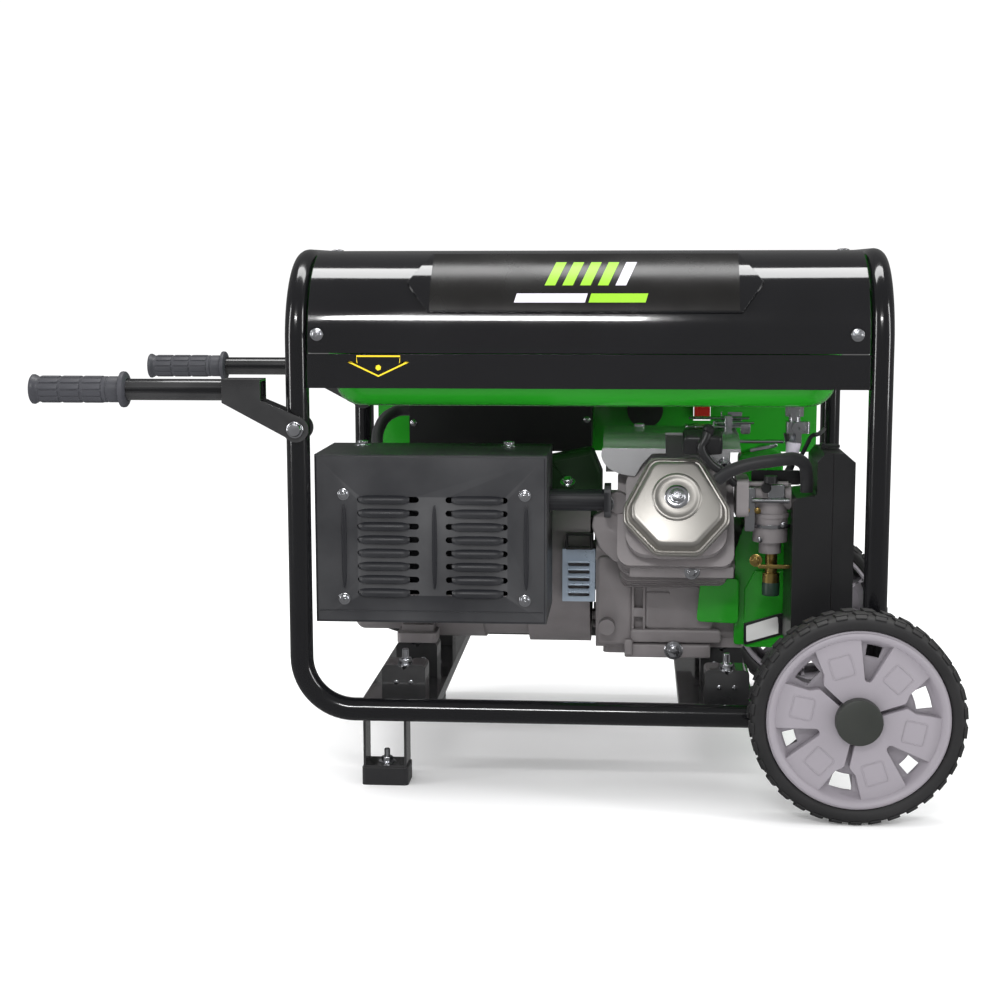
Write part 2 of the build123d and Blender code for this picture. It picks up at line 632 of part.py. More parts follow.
with BuildPart() as crankcase:
    with BuildSketch(x_plane(CASE_LEFT + 30, 0, 0)):
        with BuildLine():
            Polyline(
                (CASE_Y0, CASE_LOW), (CASE_Y1, CASE_LOW), (CASE_Y1, CASE_TOP - 40), (CASE_Y1 - 50, CASE_TOP),
                (-20, CASE_TOP), (CASE_Y0, CASE_TOP - 45), close=True,
            )
        make_face()
        fillet(vertices(), radius=14)
    extrude(amount=CASE_RIGHT - CASE_LEFT - 30)
    with BuildSketch(x_plane(CASE_LEFT, 0, 0)):
        with BuildLine():
            Polyline(
                (CASE_Y0 - 8, CASE_LOW - 6), (CASE_Y1 + 6, CASE_LOW - 6), (CASE_Y1 + 6, CASE_TOP - 36),
                (CASE_Y1 - 50, CASE_TOP + 6), (-24, CASE_TOP + 6), (CASE_Y0 - 8, CASE_TOP - 45), close=True,
            )
        make_face()
        fillet(vertices(), radius=20)
    extrude(amount=30)
    with BuildSketch(bore_plane(50)):
        Circle(CYL_OUTER)
    extrude(amount=DECK - 50)
    for reach in range(80, 150, 10):
        with BuildSketch(bore_plane(reach)):
            RectangleRounded(132, 126, 12)
            Circle(CYL_OUTER - 1, mode=Mode.SUBTRACT)
        extrude(amount=3)
    with BuildSketch(Plane.XY.offset(CASE_LOW - 15)):
        with Locations((187, 20)):
            RectangleRounded(118, 176, 8)
    extrude(amount=17)
    with BuildSketch(Plane.XY.offset(MOUNT_PAD)):
        with Locations((215, -61), (215, 108)):
            RectangleRounded(174, 44, 6)
    extrude(amount=12)
    with BuildSketch(x_plane(CASE_RIGHT)):
        Circle(60)
    extrude(amount=FAN_LEFT - CASE_RIGHT)
    with BuildSketch(x_plane(CASE_LEFT + 30)):
        Circle(CAVITY_R)
    extrude(amount=CASE_RIGHT - CASE_LEFT - 48, mode=Mode.SUBTRACT)
    with BuildSketch(x_plane(CASE_LEFT - 1)):
        Circle(SHAFT_R + 0.05)
    extrude(amount=FAN_LEFT - CASE_LEFT + 2, mode=Mode.SUBTRACT)
    with BuildSketch(bore_plane(20)):
        Circle(CYL_R)
    extrude(amount=DECK, mode=Mode.SUBTRACT)
    with BuildSketch(x_plane(CASE_LEFT)):
        with PolarLocations(80, 10, start_angle=12):
            Circle(7)
    extrude(amount=-6)
crankcase.part.label = "crankcase"
export_step(crankcase.part, "parts/crankcase.step")

with BuildPart() as head:
    with BuildSketch(bore_plane(DECK)):
        RectangleRounded(128, 122, 14)
    extrude(amount=18)
    for reach in range(172, 212, 9):
        with BuildSketch(bore_plane(reach)):
            RectangleRounded(138, 126, 16)
        extrude(amount=3)
    with BuildSketch(bore_plane(DECK + 10)):
        RectangleRounded(104, 98, 20)
    extrude(amount=HEAD_TOP - DECK - 12)
    with BuildSketch(bore_plane(HEAD_TOP - 14)):
        RectangleRounded(118, 112, 26)
    extrude(amount=14)
head.part.label = "cylinder_head"
export_step(head.part, "parts/cylinder_head.step")

ROCKER_OUTLINE = ((-62, -2), (-62, -20), (-25, -60), (27, -60), (62, -20), (62, -2), (27, 60), (-31, 60))
with BuildPart() as rocker:
    with BuildSketch(bore_plane(HEAD_TOP)):
        Polygon(*ROCKER_OUTLINE, align=None)
        fillet(vertices(), radius=14)
    extrude(amount=7)
    with BuildSketch(bore_plane(HEAD_TOP + 7)):
        Polygon(*[(0.9 * a, 0.9 * b) for a, b in ROCKER_OUTLINE], align=None)
        fillet(vertices(), radius=12)
    extrude(amount=8)
    with BuildSketch(bore_plane(HEAD_TOP + 14)):
        Polygon(*[(0.8 * a, 0.8 * b) for a, b in ROCKER_OUTLINE], align=None)
        fillet(vertices(), radius=10)
    extrude(amount=22, taper=4)
    with BuildSketch(bore_plane(HEAD_TOP)):
        Polygon(*[(0.74 * a, 0.74 * b) for a, b in ROCKER_OUTLINE], align=None)
    extrude(amount=22, mode=Mode.SUBTRACT)
rocker.part.label = "rocker_cover"
export_step(rocker.part, "parts/rocker_cover.step")

# Bent sheet over the cylinder that carries the fan's air forwards
with BuildPart() as shroud:
    with BuildSketch(x_plane(128, 0, 0)):
        with BuildLine():
            Spline((-156, 404), (-142, 412), (-90, 418), (-20, 418), (40, 390), (58, 350))
            Line((58, 350), (55, 350))
            Spline((55, 350), (38, 387), (-22, 415), (-90, 415), (-141, 409), (-153, 402))
            Line((-153, 402), (-156, 404))
        make_face()
    extrude(amount=CASE_RIGHT - 128)
    with BuildSketch(back_plane(0, -166.4, 0)):
        with BuildLine():
            Spline((128, 404), (126, 396), (133, 382), (148, 374), (166, 371))
            Polyline((166, 371), (174, 385), (186, 398), (250, 400), (260, 382), (266, 374), (277, 372), (277, 404), (128, 404))
        make_face()
    extrude(amount=1.6)
    with BuildSketch(x_plane(128, 0, 0)):
        Polygon((-168, 400), (-166.4, 400), (-141, 402), (-142, 405), (-160, 406.5), (-168, 404), align=None)
    extrude(amount=CASE_RIGHT - 128)
    with BuildSketch(Plane.XY.offset(360)):
        with Locations((228, -140)):
            Rectangle(52, 60)
    extrude(amount=80, mode=Mode.SUBTRACT)
shroud.part.label = "cylinder_shroud"
export_step(shroud.part, "parts/cylinder_shroud.step")

# Spark plug, its elbow cap, and the high-tension lead back to the coil
lead_path = (
    (246, -204, 428), (252, -200, 414), (262, -197, 398), (272, -190, 384), (282, -170, 376), (286, -144, 376), (282, -120, 384),
)
lead = swept(lead_path, 3.5)
with BuildPart() as plug:
    add(lead.part)
    with BuildSketch(bore_plane(196)):
        with Locations((18, 82)):
            Circle(10)
    extrude(amount=38)
    with BuildSketch(Plane(origin=(222, -203, 414), x_dir=(0, 1, 0), z_dir=(1, 0, 0.3))):
        Circle(9)
    extrude(amount=24)
plug.part.label = "plug_lead"
export_step(plug.part, "parts/plug_lead.step")

# ---------------------------------------------------------------- fan housing and recoil starter
FAN_R = 108.0
with BuildPart() as fan_housing:
    with BuildSketch(x_plane(FAN_LEFT)):
        Circle(FAN_R)
    extrude(amount=FAN_RIGHT - FAN_LEFT)
    with BuildSketch(x_plane(FAN_LEFT + 3)):
        Circle(FAN_R - SHEET)
    extrude(amount=FAN_RIGHT - FAN_LEFT, mode=Mode.SUBTRACT)
    with BuildSketch(x_plane(FAN_LEFT - 1)):
        Circle(40)
    extrude(amount=10, mode=Mode.SUBTRACT)
    with BuildSketch(x_plane(FAN_RIGHT - 2)):
        Circle(FAN_R - 0.5)
        Circle(92, mode=Mode.SUBTRACT)
    extrude(amount=2)
fan_housing.part.label = "fan_housing"
export_step(fan_housing.part, "parts/fan_housing.step")

RECOIL_DEPTH = 44.0
with BuildPart() as recoil:
    with BuildSketch(x_plane(FAN_RIGHT)):
        Circle(98)
    extrude(amount=10)
    with BuildSketch(x_plane(FAN_RIGHT + 10)):
        Circle(86)
    extrude(amount=RECOIL_DEPTH - 10, taper=14)
    with BuildSketch(x_plane(FAN_RIGHT)):
        Circle(74)
    extrude(amount=RECOIL_DEPTH - 4, mode=Mode.SUBTRACT)
    with BuildSketch(x_plane(FAN_RIGHT)):
        with PolarLocations(54, 10):
            SlotOverall(30, 8)
    extrude(amount=RECOIL_DEPTH, mode=Mode.SUBTRACT)
recoil.part.label = "recoil_cover"
export_step(recoil.part, "parts/recoil_cover.step")

PULL = (0, cos(radians(20)), sin(radians(20)))
PULL_FROM = Vector(FAN_RIGHT + 24, CRANK_Y + 80, CRANK_Z + 30)
with BuildPart() as pull_grip:
    with BuildSketch(Plane(origin=PULL_FROM, x_dir=(1, 0, 0), z_dir=PULL)):
        SlotOverall(16, 9)
    extrude(amount=10)
    with BuildSketch(Plane(origin=PULL_FROM + 8 * Vector(*PULL), x_dir=(1, 0, 0), z_dir=PULL)):
        RectangleRounded(20, 86, 9)
    extrude(amount=20)
    fillet(pull_grip.faces().sort_by(Axis((0, 0, 0), PULL))[-1].edges(), radius=5)
pull_grip.part.label = "recoil_grip"
export_step(pull_grip.part, "parts/recoil_grip.step")

# ---------------------------------------------------------------- rotating assembly
STROKE_R = 32.0
WEB_R = 56.0
WEB_T = 18.0
BIG_END_HALF = 13.0
with BuildPart() as crankshaft:
    with BuildSketch(x_plane(ALT_LEFT + 20)):
        Circle(SHAFT_R)
    extrude(amount=BORE_X - BIG_END_HALF - 0.5 - ALT_LEFT - 20)
    with BuildSketch(x_plane(BORE_X + BIG_END_HALF + 0.5)):
        Circle(SHAFT_R)
    extrude(amount=FAN_RIGHT - 4 - BORE_X - BIG_END_HALF)
    for edge in (-1, 1):
        with BuildSketch(x_plane(BORE_X + edge * (BIG_END_HALF + 0.5 + WEB_T / 2) - WEB_T / 2)):
            Circle(WEB_R)
        extrude(amount=WEB_T)
crankshaft.part.label = "crankshaft"
export_step(crankshaft.part, "parts/crankshaft.step")

with BuildPart() as flywheel:
    with BuildSketch(x_plane(FAN_LEFT + 6)):
        Circle(84)
        Circle(SHAFT_R, mode=Mode.SUBTRACT)
    extrude(amount=16)
    with BuildSketch(x_plane(FAN_LEFT + 22)):
        Circle(96)
        Circle(40, mode=Mode.SUBTRACT)
    extrude(amount=3)
    with BuildSketch(x_plane(FAN_LEFT + 24)):
        with PolarLocations(72, 20):
            Rectangle(40, 2.4, rotation=24)
    extrude(amount=20)
    with BuildSketch(x_plane(FAN_LEFT + 22)):
        Circle(34)
        Circle(SHAFT_R, mode=Mode.SUBTRACT)
    extrude(amount=20)
flywheel.part.label = "flywheel"
export_step(flywheel.part, "parts/flywheel.step")

with BuildPart() as rotor:
    with BuildSketch(x_plane(ALT_LEFT + 50)):
        Circle(56)
        Circle(SHAFT_R, mode=Mode.SUBTRACT)
    extrude(amount=180)
    with BuildSketch(x_plane(ALT_LEFT + 236)):
        Circle(80)
        Circle(SHAFT_R, mode=Mode.SUBTRACT)
    extrude(amount=4)
    with BuildSketch(x_plane(ALT_LEFT + 239)):
        with PolarLocations(60, 12):
            Rectangle(34, 3)
    extrude(amount=24)
    with BuildSketch(x_plane(ALT_LEFT + 229)):
        Circle(28)
        Circle(SHAFT_R, mode=Mode.SUBTRACT)
    extrude(amount=9)
rotor.part.label = "alternator_rotor"
export_step(rotor.part, "parts/alternator_rotor.step")

with BuildPart() as piston:
    with BuildSketch(bore_plane(92)):
        Circle(CYL_R - 0.05)
    extrude(amount=44)
    with BuildSketch(bore_plane(92)):
        Circle(CYL_R - 5)
    extrude(amount=36, mode=Mode.SUBTRACT)
    with BuildSketch(bore_plane(30)):
        RectangleRounded(18, 16, 3)
    extrude(amount=100)
    with BuildSketch(x_plane(BORE_X - BIG_END_HALF, CRANK_Y - 32 * cos(radians(TILT)), CRANK_Z + 32 * sin(radians(TILT)))):
        Circle(22)
    extrude(amount=2 * BIG_END_HALF)
piston.part.label = "piston"
export_step(piston.part, "parts/piston.step")

# ---------------------------------------------------------------- carburettor and air cleaner
CARB_X, CARB_Y = 325.5, -172.0
AIR_LEFT, AIR_SEAM, AIR_RIGHT = 348.0, 393.0, 418.0
AIR_LOW, AIR_SHOULDER, AIR_TOP = 170.0, 352.0, 404.0
AIR_Y0, AIR_Y1 = -214.0, -104.0

with BuildPart() as carb:
    with BuildSketch(x_plane(284, CARB_Y, 350)):
        RectangleRounded(58, 46, 8)
    extrude(amount=14)
    with BuildSketch(x_plane(298, CARB_Y, 350)):
        Circle(17)
    extrude(amount=AIR_LEFT - 298)
    with BuildSketch(Plane.XY.offset(328)):
        with Locations((CARB_X, CARB_Y)):
            Circle(20)
    extrude(amount=32)
    with BuildSketch(Plane.XY.offset(325)):
        with Locations((CARB_X, CARB_Y)):
            Circle(22)
    extrude(amount=5)
    with BuildSketch(Plane.XY.offset(296)):
        with Locations((CARB_X, CARB_Y)):
            Circle(20.5)
    extrude(amount=29)
    with BuildSketch(Plane.XY.offset(282)):
        with Locations((CARB_X, CARB_Y)):
            Circle(13)
    extrude(amount=14)
    with BuildSketch(x_plane(296, CARB_Y - 17, 366)):
        Circle(3)
    extrude(amount=48)
    with BuildSketch(Plane.XY.offset(362)):
        with Locations((322, CARB_Y)):
            Circle(5)
        with Locations((322, CARB_Y - 17)):
            Circle(4)
    extrude(amount=7.4)
carb.part.label = "carburettor"
export_step(carb.part, "parts/carburettor.step")

with BuildPart() as solenoid:
    with BuildSketch(Plane.XY.offset(258)):
        with Locations((CARB_X + 2, CARB_Y)):
            Circle(7)
    extrude(amount=24)
    with BuildSketch(Plane.XY.offset(236)):
        with Locations((CARB_X + 2, CARB_Y)):
            Circle(10)
    extrude(amount=22)
solenoid.part.label = "fuel_solenoid"
export_step(solenoid.part, "parts/fuel_solenoid.step")

CHOKE = (322.0, -172.0, 369.6)
with BuildPart() as choke:
    with BuildSketch(Plane.XY.offset(CHOKE[2])):
        with Locations((CHOKE[0], CHOKE[1])):
            Circle(7)
        with Locations((CHOKE[0], CHOKE[1] - 18)):
            Rectangle(7, 36)
    extrude(amount=3)
    with BuildSketch(Plane.XY.offset(CHOKE[2])):
        with Locations((CHOKE[0], CHOKE[1] - 38)):
            Circle(8)
    extrude(amount=8)
choke.part.label = "choke_lever"
export_step(choke.part, "parts/choke_lever.step")

with BuildPart() as hose:
    add(swept(((322, -151.9, 342), (322, -138, 342), (330, -125, 352), (346, -120, 366), (354, -120, 380), (354, -120, 394.9)), 4.5).part)
hose.part.label = "fuel_hose"
export_step(hose.part, "parts/fuel_hose.step")


def air_shell(x0, x1, inset):
    """Air cleaner box between two x values, with a stepped, rounded top."""
    lower, upper = AIR_LEFT + inset, AIR_LEFT + 27 + inset
    low, shoulder, top, right = AIR_LOW + inset, AIR_SHOULDER - inset, AIR_TOP - inset, AIR_RIGHT - inset
    with BuildPart() as shell:
        with BuildSketch(Plane(origin=(0, AIR_Y1 - inset, 0), x_dir=(1, 0, 0), z_dir=(0, -1, 0))):
            Polygon(
                (lower, low), (lower, shoulder - 4), (lower + 4, shoulder), (upper - 2, shoulder + 3),
                (upper, shoulder + 6), (upper, top - 10), (upper + 8, top), (right - 12, top), (right, top - 10),
                (right, low), align=None,
            )
            with Locations(((x0 + x1) / 2, 300)):
                Rectangle(x1 - x0, 400, mode=Mode.INTERSECT)
        extrude(amount=AIR_Y1 - AIR_Y0 - 2 * inset)
    return shell.part


with BuildPart() as air_base:
    add(air_shell(AIR_LEFT, AIR_SEAM, 0))
    add(air_shell(AIR_LEFT, AIR_SEAM + 1, 2.5), mode=Mode.SUBTRACT)
air_base.part.label = "air_cleaner_base"
export_step(air_base.part, "parts/air_cleaner_base.step")

with BuildPart() as air_cover:
    add(air_shell(AIR_SEAM + 0.4, AIR_RIGHT, 0))
    add(air_shell(AIR_SEAM - 1, AIR_RIGHT, 2.5), mode=Mode.SUBTRACT)
air_cover.part.label = "air_cleaner_cover"
export_step(air_cover.part, "parts/air_cleaner_cover.step")

CLIP_X, CLIP_Z = 386.0, 408.0
with BuildPart() as clip:
    with BuildSketch(Plane(origin=(0, -150, 0), x_dir=(1, 0, 0), z_dir=(0, -1, 0))):
        with Locations((CLIP_X, CLIP_Z)):
            Circle(3)
            with Locations((9, 0)):
                Rectangle(20, 3)
    extrude(amount=18)
clip.part.label = "cover_clip"
export_step(clip.part, "parts/cover_clip.step")

breather = swept(((261, -206, 372), (276, -210, 384), (300, -212, 392), (328, -212, 396), (350, -206, 398), (362, -200, 391), (365, -193, 376), (365, -192, 357)), 7.5)
breather.part.label = "breather_hose"
export_step(breather.part, "parts/breather_hose.step")

# ---------------------------------------------------------------- muffler and guard
GUARD_LEFT, GUARD_RIGHT, GUARD_LOW, GUARD_TOP = -205.0, 65.0, 205.0, 402.0
GUARD_Y0, GUARD_Y1 = -240.0, -100.0
PIPE_R = 13.0
with BuildPart() as muffler:
    with BuildSketch(x_plane(GUARD_LEFT + 20, -168, 300)):
        Ellipse(58, 74)
    extrude(amount=GUARD_RIGHT - GUARD_LEFT - 40)
    fillet(muffler.faces().sort_by(Axis.X)[0].edges() + muffler.faces().sort_by(Axis.X)[-1].edges(), radius=12)
    offset(amount=-2, mode=Mode.SUBTRACT)
muffler.part.label = "muffler"
export_step(muffler.part, "parts/muffler.step")

with BuildPart() as exhaust:
    with BuildSketch(x_plane(GUARD_RIGHT - 20, -166, 342)):
        Circle(PIPE_R)
        Circle(PIPE_R - 2, mode=Mode.SUBTRACT)
    extrude(amount=130 - GUARD_RIGHT + 20)
    with BuildSketch(x_plane(130, -166, 342)):
        RectangleRounded(44, 38, 8)
    extrude(amount=8)
exhaust.part.label = "exhaust_pipe"
export_step(exhaust.part, "parts/exhaust_pipe.step")

GUARD_MID_X, GUARD_MID_Z = (GUARD_LEFT + GUARD_RIGHT) / 2, (GUARD_LOW + GUARD_TOP) / 2
GUARD_W, GUARD_H = GUARD_RIGHT - GUARD_LEFT, GUARD_TOP - GUARD_LOW
LOUVRE_ROWS, LOUVRE_PITCH, LOUVRE_TOP = 8, 15.6, 350.0
LOUVRE_XS = (-119.0, -16.0)
with BuildPart() as guard:
    with BuildSketch(Plane(origin=(0, GUARD_Y1, 0), x_dir=(1, 0, 0), z_dir=(0, -1, 0))):
        with Locations((GUARD_MID_X, GUARD_MID_Z)):
            Rectangle(GUARD_W, GUARD_H)
    extrude(amount=GUARD_Y1 - GUARD_Y0)
    fillet(guard.faces().sort_by(Axis.Y)[0].edges(), radius=3)
    with BuildSketch(Plane(origin=(0, GUARD_Y1 + 1, 0), x_dir=(1, 0, 0), z_dir=(0, -1, 0))):
        with Locations((GUARD_MID_X, GUARD_MID_Z)):
            Rectangle(GUARD_W - 2 * SHEET, GUARD_H - 2 * SHEET)
    extrude(amount=GUARD_Y1 - GUARD_Y0 + 1 - SHEET, mode=Mode.SUBTRACT)
    with BuildSketch(Plane(origin=(0, GUARD_Y0 + 5, 0), x_dir=(1, 0, 0), z_dir=(0, -1, 0))):
        for x in LOUVRE_XS:
            for row in range(LOUVRE_ROWS):
                with Locations((x, LOUVRE_TOP - row * LOUVRE_PITCH)):
                    SlotOverall(72, 7)
    extrude(amount=10, mode=Mode.SUBTRACT)
    with BuildSketch(x_plane(GUARD_RIGHT - 5, -166, 342)):
        Circle(PIPE_R + 3)
    extrude(amount=10, mode=Mode.SUBTRACT)
guard.part.label = "muffler_guard"
export_step(guard.part, "parts/muffler_guard.step")

# ---------------------------------------------------------------- alternator
with BuildPart() as alternator:
    with BuildSketch(x_plane(ALT_LEFT)):
        Circle(ALT_R - 8)
    extrude(amount=60)
    fillet(alternator.faces().sort_by(Axis.X)[0].edges(), radius=10)
    with BuildSketch(x_plane(ALT_LEFT + 60)):
        Circle(ALT_R)
    extrude(amount=110)
    with BuildSketch(x_plane(ALT_LEFT + 170)):
        Circle(ALT_R - 4)
    extrude(amount=60)
    with BuildSketch(x_plane(ALT_LEFT + 228)):
        Circle(ALT_R + 4)
    extrude(amount=CASE_LEFT - ALT_LEFT - 236)
    with BuildSketch(Plane.XY.offset(CROSS_Z + CROSS_H + 44)):
        with Locations((-107, -61), (-107, 125)):
            RectangleRounded(50, 44, 6)
    extrude(amount=12)
    with BuildSketch(Plane.XY.offset(CROSS_Z + CROSS_H + 44)):
        with Locations((-107, 32)):
            Rectangle(40, 200)
    extrude(amount=20)
    with BuildSketch(x_plane(ALT_LEFT + 12)):
        Circle(82)
    extrude(amount=CASE_LEFT - ALT_LEFT, mode=Mode.SUBTRACT)
    with BuildSketch(x_plane(ALT_LEFT + 60)):
        Circle(82.5)
        Circle(56.6, mode=Mode.SUBTRACT)
    extrude(amount=150)
    with BuildSketch(x_plane(ALT_LEFT + 12)):
        Circle(30)
        Circle(SHAFT_R + 0.05, mode=Mode.SUBTRACT)
    extrude(amount=16)
    with BuildSketch(x_plane(ALT_LEFT - 1)):
        with PolarLocations(60, 12):
            SlotOverall(26, 8)
    extrude(amount=20, mode=Mode.SUBTRACT)
alternator.part.label = "alternator_housing"
export_step(alternator.part, "parts/alternator_housing.step")

# Louvred air plate on the bell's side
LOUVRE_PLATE_Y = CRANK_Y - ALT_R - 14
with BuildPart() as louvre:
    with BuildSketch(back_plane(97.5, LOUVRE_PLATE_Y + 2, 236)):
        Rectangle(41, 66)
        with Locations(*[(0, -24 + 9.5 * k) for k in range(5)]):
            SlotOverall(27, 4.5, mode=Mode.SUBTRACT)
    extrude(amount=2)
    with BuildSketch(back_plane(97.5, LOUVRE_PLATE_Y + 10, 236)):
        Rectangle(41, 66)
        Rectangle(37, 62, mode=Mode.SUBTRACT)
    extrude(amount=8)
louvre.part.label = "louvre_plate"
export_step(louvre.part, "parts/louvre_plate.step")

# Governor arm, spring bracket and rod above the shroud
with BuildPart() as governor:
    with BuildSketch(Plane.XY.offset(421)):
        with Locations((262, -60)):
            RectangleRounded(70, 34, 4)
    extrude(amount=2)
    with BuildSketch(back_plane(284, -64, 423)):
        with Locations((0, 8)):
            Rectangle(26, 17)
        with Locations((-8, 18)):
            Rectangle(7, 12, mode=Mode.SUBTRACT)
    extrude(amount=2)
    with BuildSketch(x_plane(232, -66, 432)):
        Circle(2)
    extrude(amount=74)
governor.part.label = "governor_bracket"
export_step(governor.part, "parts/governor_bracket.step")

# ---------------------------------------------------------------- shared fasteners
COVER_SCREWS = ((-196.0, 541.0), (411.0, 541.0))
GUARD_SCREWS = ((-171.0, 356.0), (40.0, 356.0), (-171.0, 233.0), (40.0, 233.0))
with BuildPart() as screws:
    for _, side in SIDES:
        for x, z in COVER_SCREWS:
            with BuildSketch(Plane(origin=(x, side * (COVER_CY + COVER_R), z), x_dir=(1, 0, 0), z_dir=(0, side, 0))):
                Circle(7)
            extrude(amount=3)
        for x in (-194.0, 409.0):
            with BuildSketch(Plane.XY.offset(COVER_CZ + COVER_R)):
                with Locations((x, side * 120)):
                    Circle(7)
            extrude(amount=2)
    for x, z in GUARD_SCREWS:
        with BuildSketch(back_plane(x, GUARD_Y0, z)):
            Circle(6.8)
        extrude(amount=3)
    for x in (-165.0, 14.0):
        with BuildSketch(Plane.XY.offset(GUARD_TOP)):
            with Locations((x, -130)):
                RegularPolygon(6.5, 6)
        extrude(amount=6)
screws.part.label = "cover_screws"
export_step(screws.part, "parts/cover_screws.step")

with BuildPart() as bolts:
    with BuildSketch(bore_plane(HEAD_TOP + 36)):
        with Locations((0, 13)):
            Circle(14)
    extrude(amount=2)
    with BuildSketch(bore_plane(HEAD_TOP + 38)):
        with Locations((0, 13)):
            RegularPolygon(8, 6)
    extrude(amount=8)
    with BuildSketch(back_plane(215, -68, 140.5)):
        RegularPolygon(7, 6)
    extrude(amount=9)
    with BuildSketch(Plane.XY.offset(PAD_H + 3)):
        with Locations((FOOT_X, FOOT_Y), (FOOT_X, -FOOT_Y)):
            RegularPolygon(8, 6)
    extrude(amount=9)
    with BuildSketch(x_plane(138, -181, 350)):
        RegularPolygon(6.5, 6)
    extrude(amount=6)
bolts.part.label = "engine_bolts"
export_step(bolts.part, "parts/engine_bolts.step")
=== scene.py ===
"""Looks of the portable generator: materials, fine pieces, floor, light and camera,
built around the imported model.  Metres in the model's own frame; piece sizes in mm * MM."""
import json
from math import cos, pi, radians, sin, sqrt

import bpy
from mathutils import Matrix, Vector


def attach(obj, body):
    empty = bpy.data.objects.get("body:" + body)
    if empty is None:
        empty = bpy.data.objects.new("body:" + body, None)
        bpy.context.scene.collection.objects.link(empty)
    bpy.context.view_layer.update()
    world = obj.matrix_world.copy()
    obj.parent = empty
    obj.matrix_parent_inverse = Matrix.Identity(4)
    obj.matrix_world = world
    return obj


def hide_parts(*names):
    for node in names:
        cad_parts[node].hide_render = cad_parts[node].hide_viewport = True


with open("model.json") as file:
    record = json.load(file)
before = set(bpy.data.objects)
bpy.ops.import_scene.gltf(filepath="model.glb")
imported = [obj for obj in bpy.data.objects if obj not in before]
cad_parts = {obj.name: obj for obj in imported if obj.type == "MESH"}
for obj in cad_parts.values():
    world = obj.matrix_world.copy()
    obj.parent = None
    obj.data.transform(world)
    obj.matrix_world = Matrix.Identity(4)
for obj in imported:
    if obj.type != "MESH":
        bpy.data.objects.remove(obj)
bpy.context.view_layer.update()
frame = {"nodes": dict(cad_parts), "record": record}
NODES = frame["nodes"]
MM = 0.001

# Places that the fine pieces share with the CAD, in mm.
WHEEL_X, WHEEL_Y, WHEEL_Z = 414, 305, 120
HANDLE_END_X, HANDLE_Y, HANDLE_Z = -534, 246, 477
PIVOT_X, PIVOT_Z, PIVOT_HALF = -221.5, 433, 19.2
COVER_SIDE_SCREWS_X, COVER_TOP_SCREWS_X = (-196, 411), (-194, 409)
TYRE_BLOCKS = 34

FLOOR_HALF = 14
WORLD_SEEN, WORLD_REFLECTED = 1.05, 0.16
CAD_SPLIT_DEGREES = 32

# ---------------------------------------------------------------- camera, floor, light
CAMERA_AT = (0.1626, -2.1945, 0.6133)
CAMERA_YAW, CAMERA_PITCH, CAMERA_ROLL = 0.0773, -0.1331, -0.0014
LENS_MM = 61.84


def build_camera():
    """Camera at the viewing angle of a product picture, slightly above the object."""
    data = bpy.data.cameras.new("camera")
    data.lens = LENS_MM
    data.sensor_width = 36
    data.clip_start = 0.05
    data.clip_end = 60
    camera = bpy.data.objects.new("camera", data)
    turn = Matrix.Rotation(CAMERA_YAW, 4, "Z") @ Matrix.Rotation(pi / 2 + CAMERA_PITCH, 4, "X")
    camera.matrix_world = Matrix.Translation(CAMERA_AT) @ turn @ Matrix.Rotation(CAMERA_ROLL, 4, "Z")
    bpy.context.scene.collection.objects.link(camera)
    bpy.context.scene.camera = camera


def area_light(name, at, target, size, power, colour=(1, 1, 1)):
    """A rectangular soft box that looks at a target."""
    data = bpy.data.lights.new(name, "AREA")
    data.shape = "RECTANGLE"
    data.size, data.size_y = size
    data.energy = power
    data.color = colour
    light = bpy.data.objects.new(name, data)
    light.location = at
    light.rotation_euler = (Vector(target) - Vector(at)).to_track_quat("-Z", "Y").to_euler()
    bpy.context.scene.collection.objects.link(light)


def build_stage():
    """Pale floor that gives off a little light, a world dimmer in reflections, and large soft boxes."""
    half = FLOOR_HALF
    mesh = bpy.data.meshes.new("floor")
    mesh.from_pydata(
        [(-half, -half, 0), (half, -half, 0), (half, half, 0), (-half, half, 0)], [], [(0, 1, 2, 3)]
    )
    floor = bpy.data.objects.new("floor", mesh)
    bpy.context.scene.collection.objects.link(floor)
    paper = bpy.data.materials.new("floor_paper")
    paper.use_nodes = True
    shader = paper.node_tree.nodes["Principled BSDF"]
    shader.inputs["Base Color"].default_value = (0.95, 0.95, 0.955, 1)
    shader.inputs["Roughness"].default_value = 1.0
    shader.inputs["Specular IOR Level"].default_value = 0.0
    shader.inputs["Emission Color"].default_value = (1, 1, 1, 1)
    shader.inputs["Emission Strength"].default_value = 0.1
    mesh.materials.append(paper)
    floor.visible_glossy = False
    world = bpy.data.worlds.new("studio")
    world.use_nodes = True
    tree = world.node_tree
    nodes, links = tree.nodes, tree.links
    rays = nodes.new("ShaderNodeLightPath")
    strength = nodes.new("ShaderNodeMapRange")
    strength.inputs["To Min"].default_value = WORLD_SEEN
    strength.inputs["To Max"].default_value = WORLD_REFLECTED
    links.new(rays.outputs["Is Glossy Ray"], strength.inputs["Value"])
    nodes["Background"].inputs[0].default_value = (1, 1, 1, 1)
    links.new(strength.outputs["Result"], nodes["Background"].inputs[1])
    bpy.context.scene.world = world
    bpy.context.scene.view_settings.view_transform = "Standard"
    area_light("top_box", (0.1, 0.1, 2.7), (0.1, 0, 0.3), (2.2, 0.7), 34)
    area_light("left_strip", (-2.6, -1.3, 1.1), (0, 0, 0.35), (0.35, 2.0), 22)
    area_light("right_strip", (2.7, -1.2, 1.2), (0.2, 0, 0.35), (0.35, 2.0), 22)
    area_light("front_box", (-0.3, -3.2, 2.3), (0.1, 0, 0.3), (1.0, 0.22), 30)


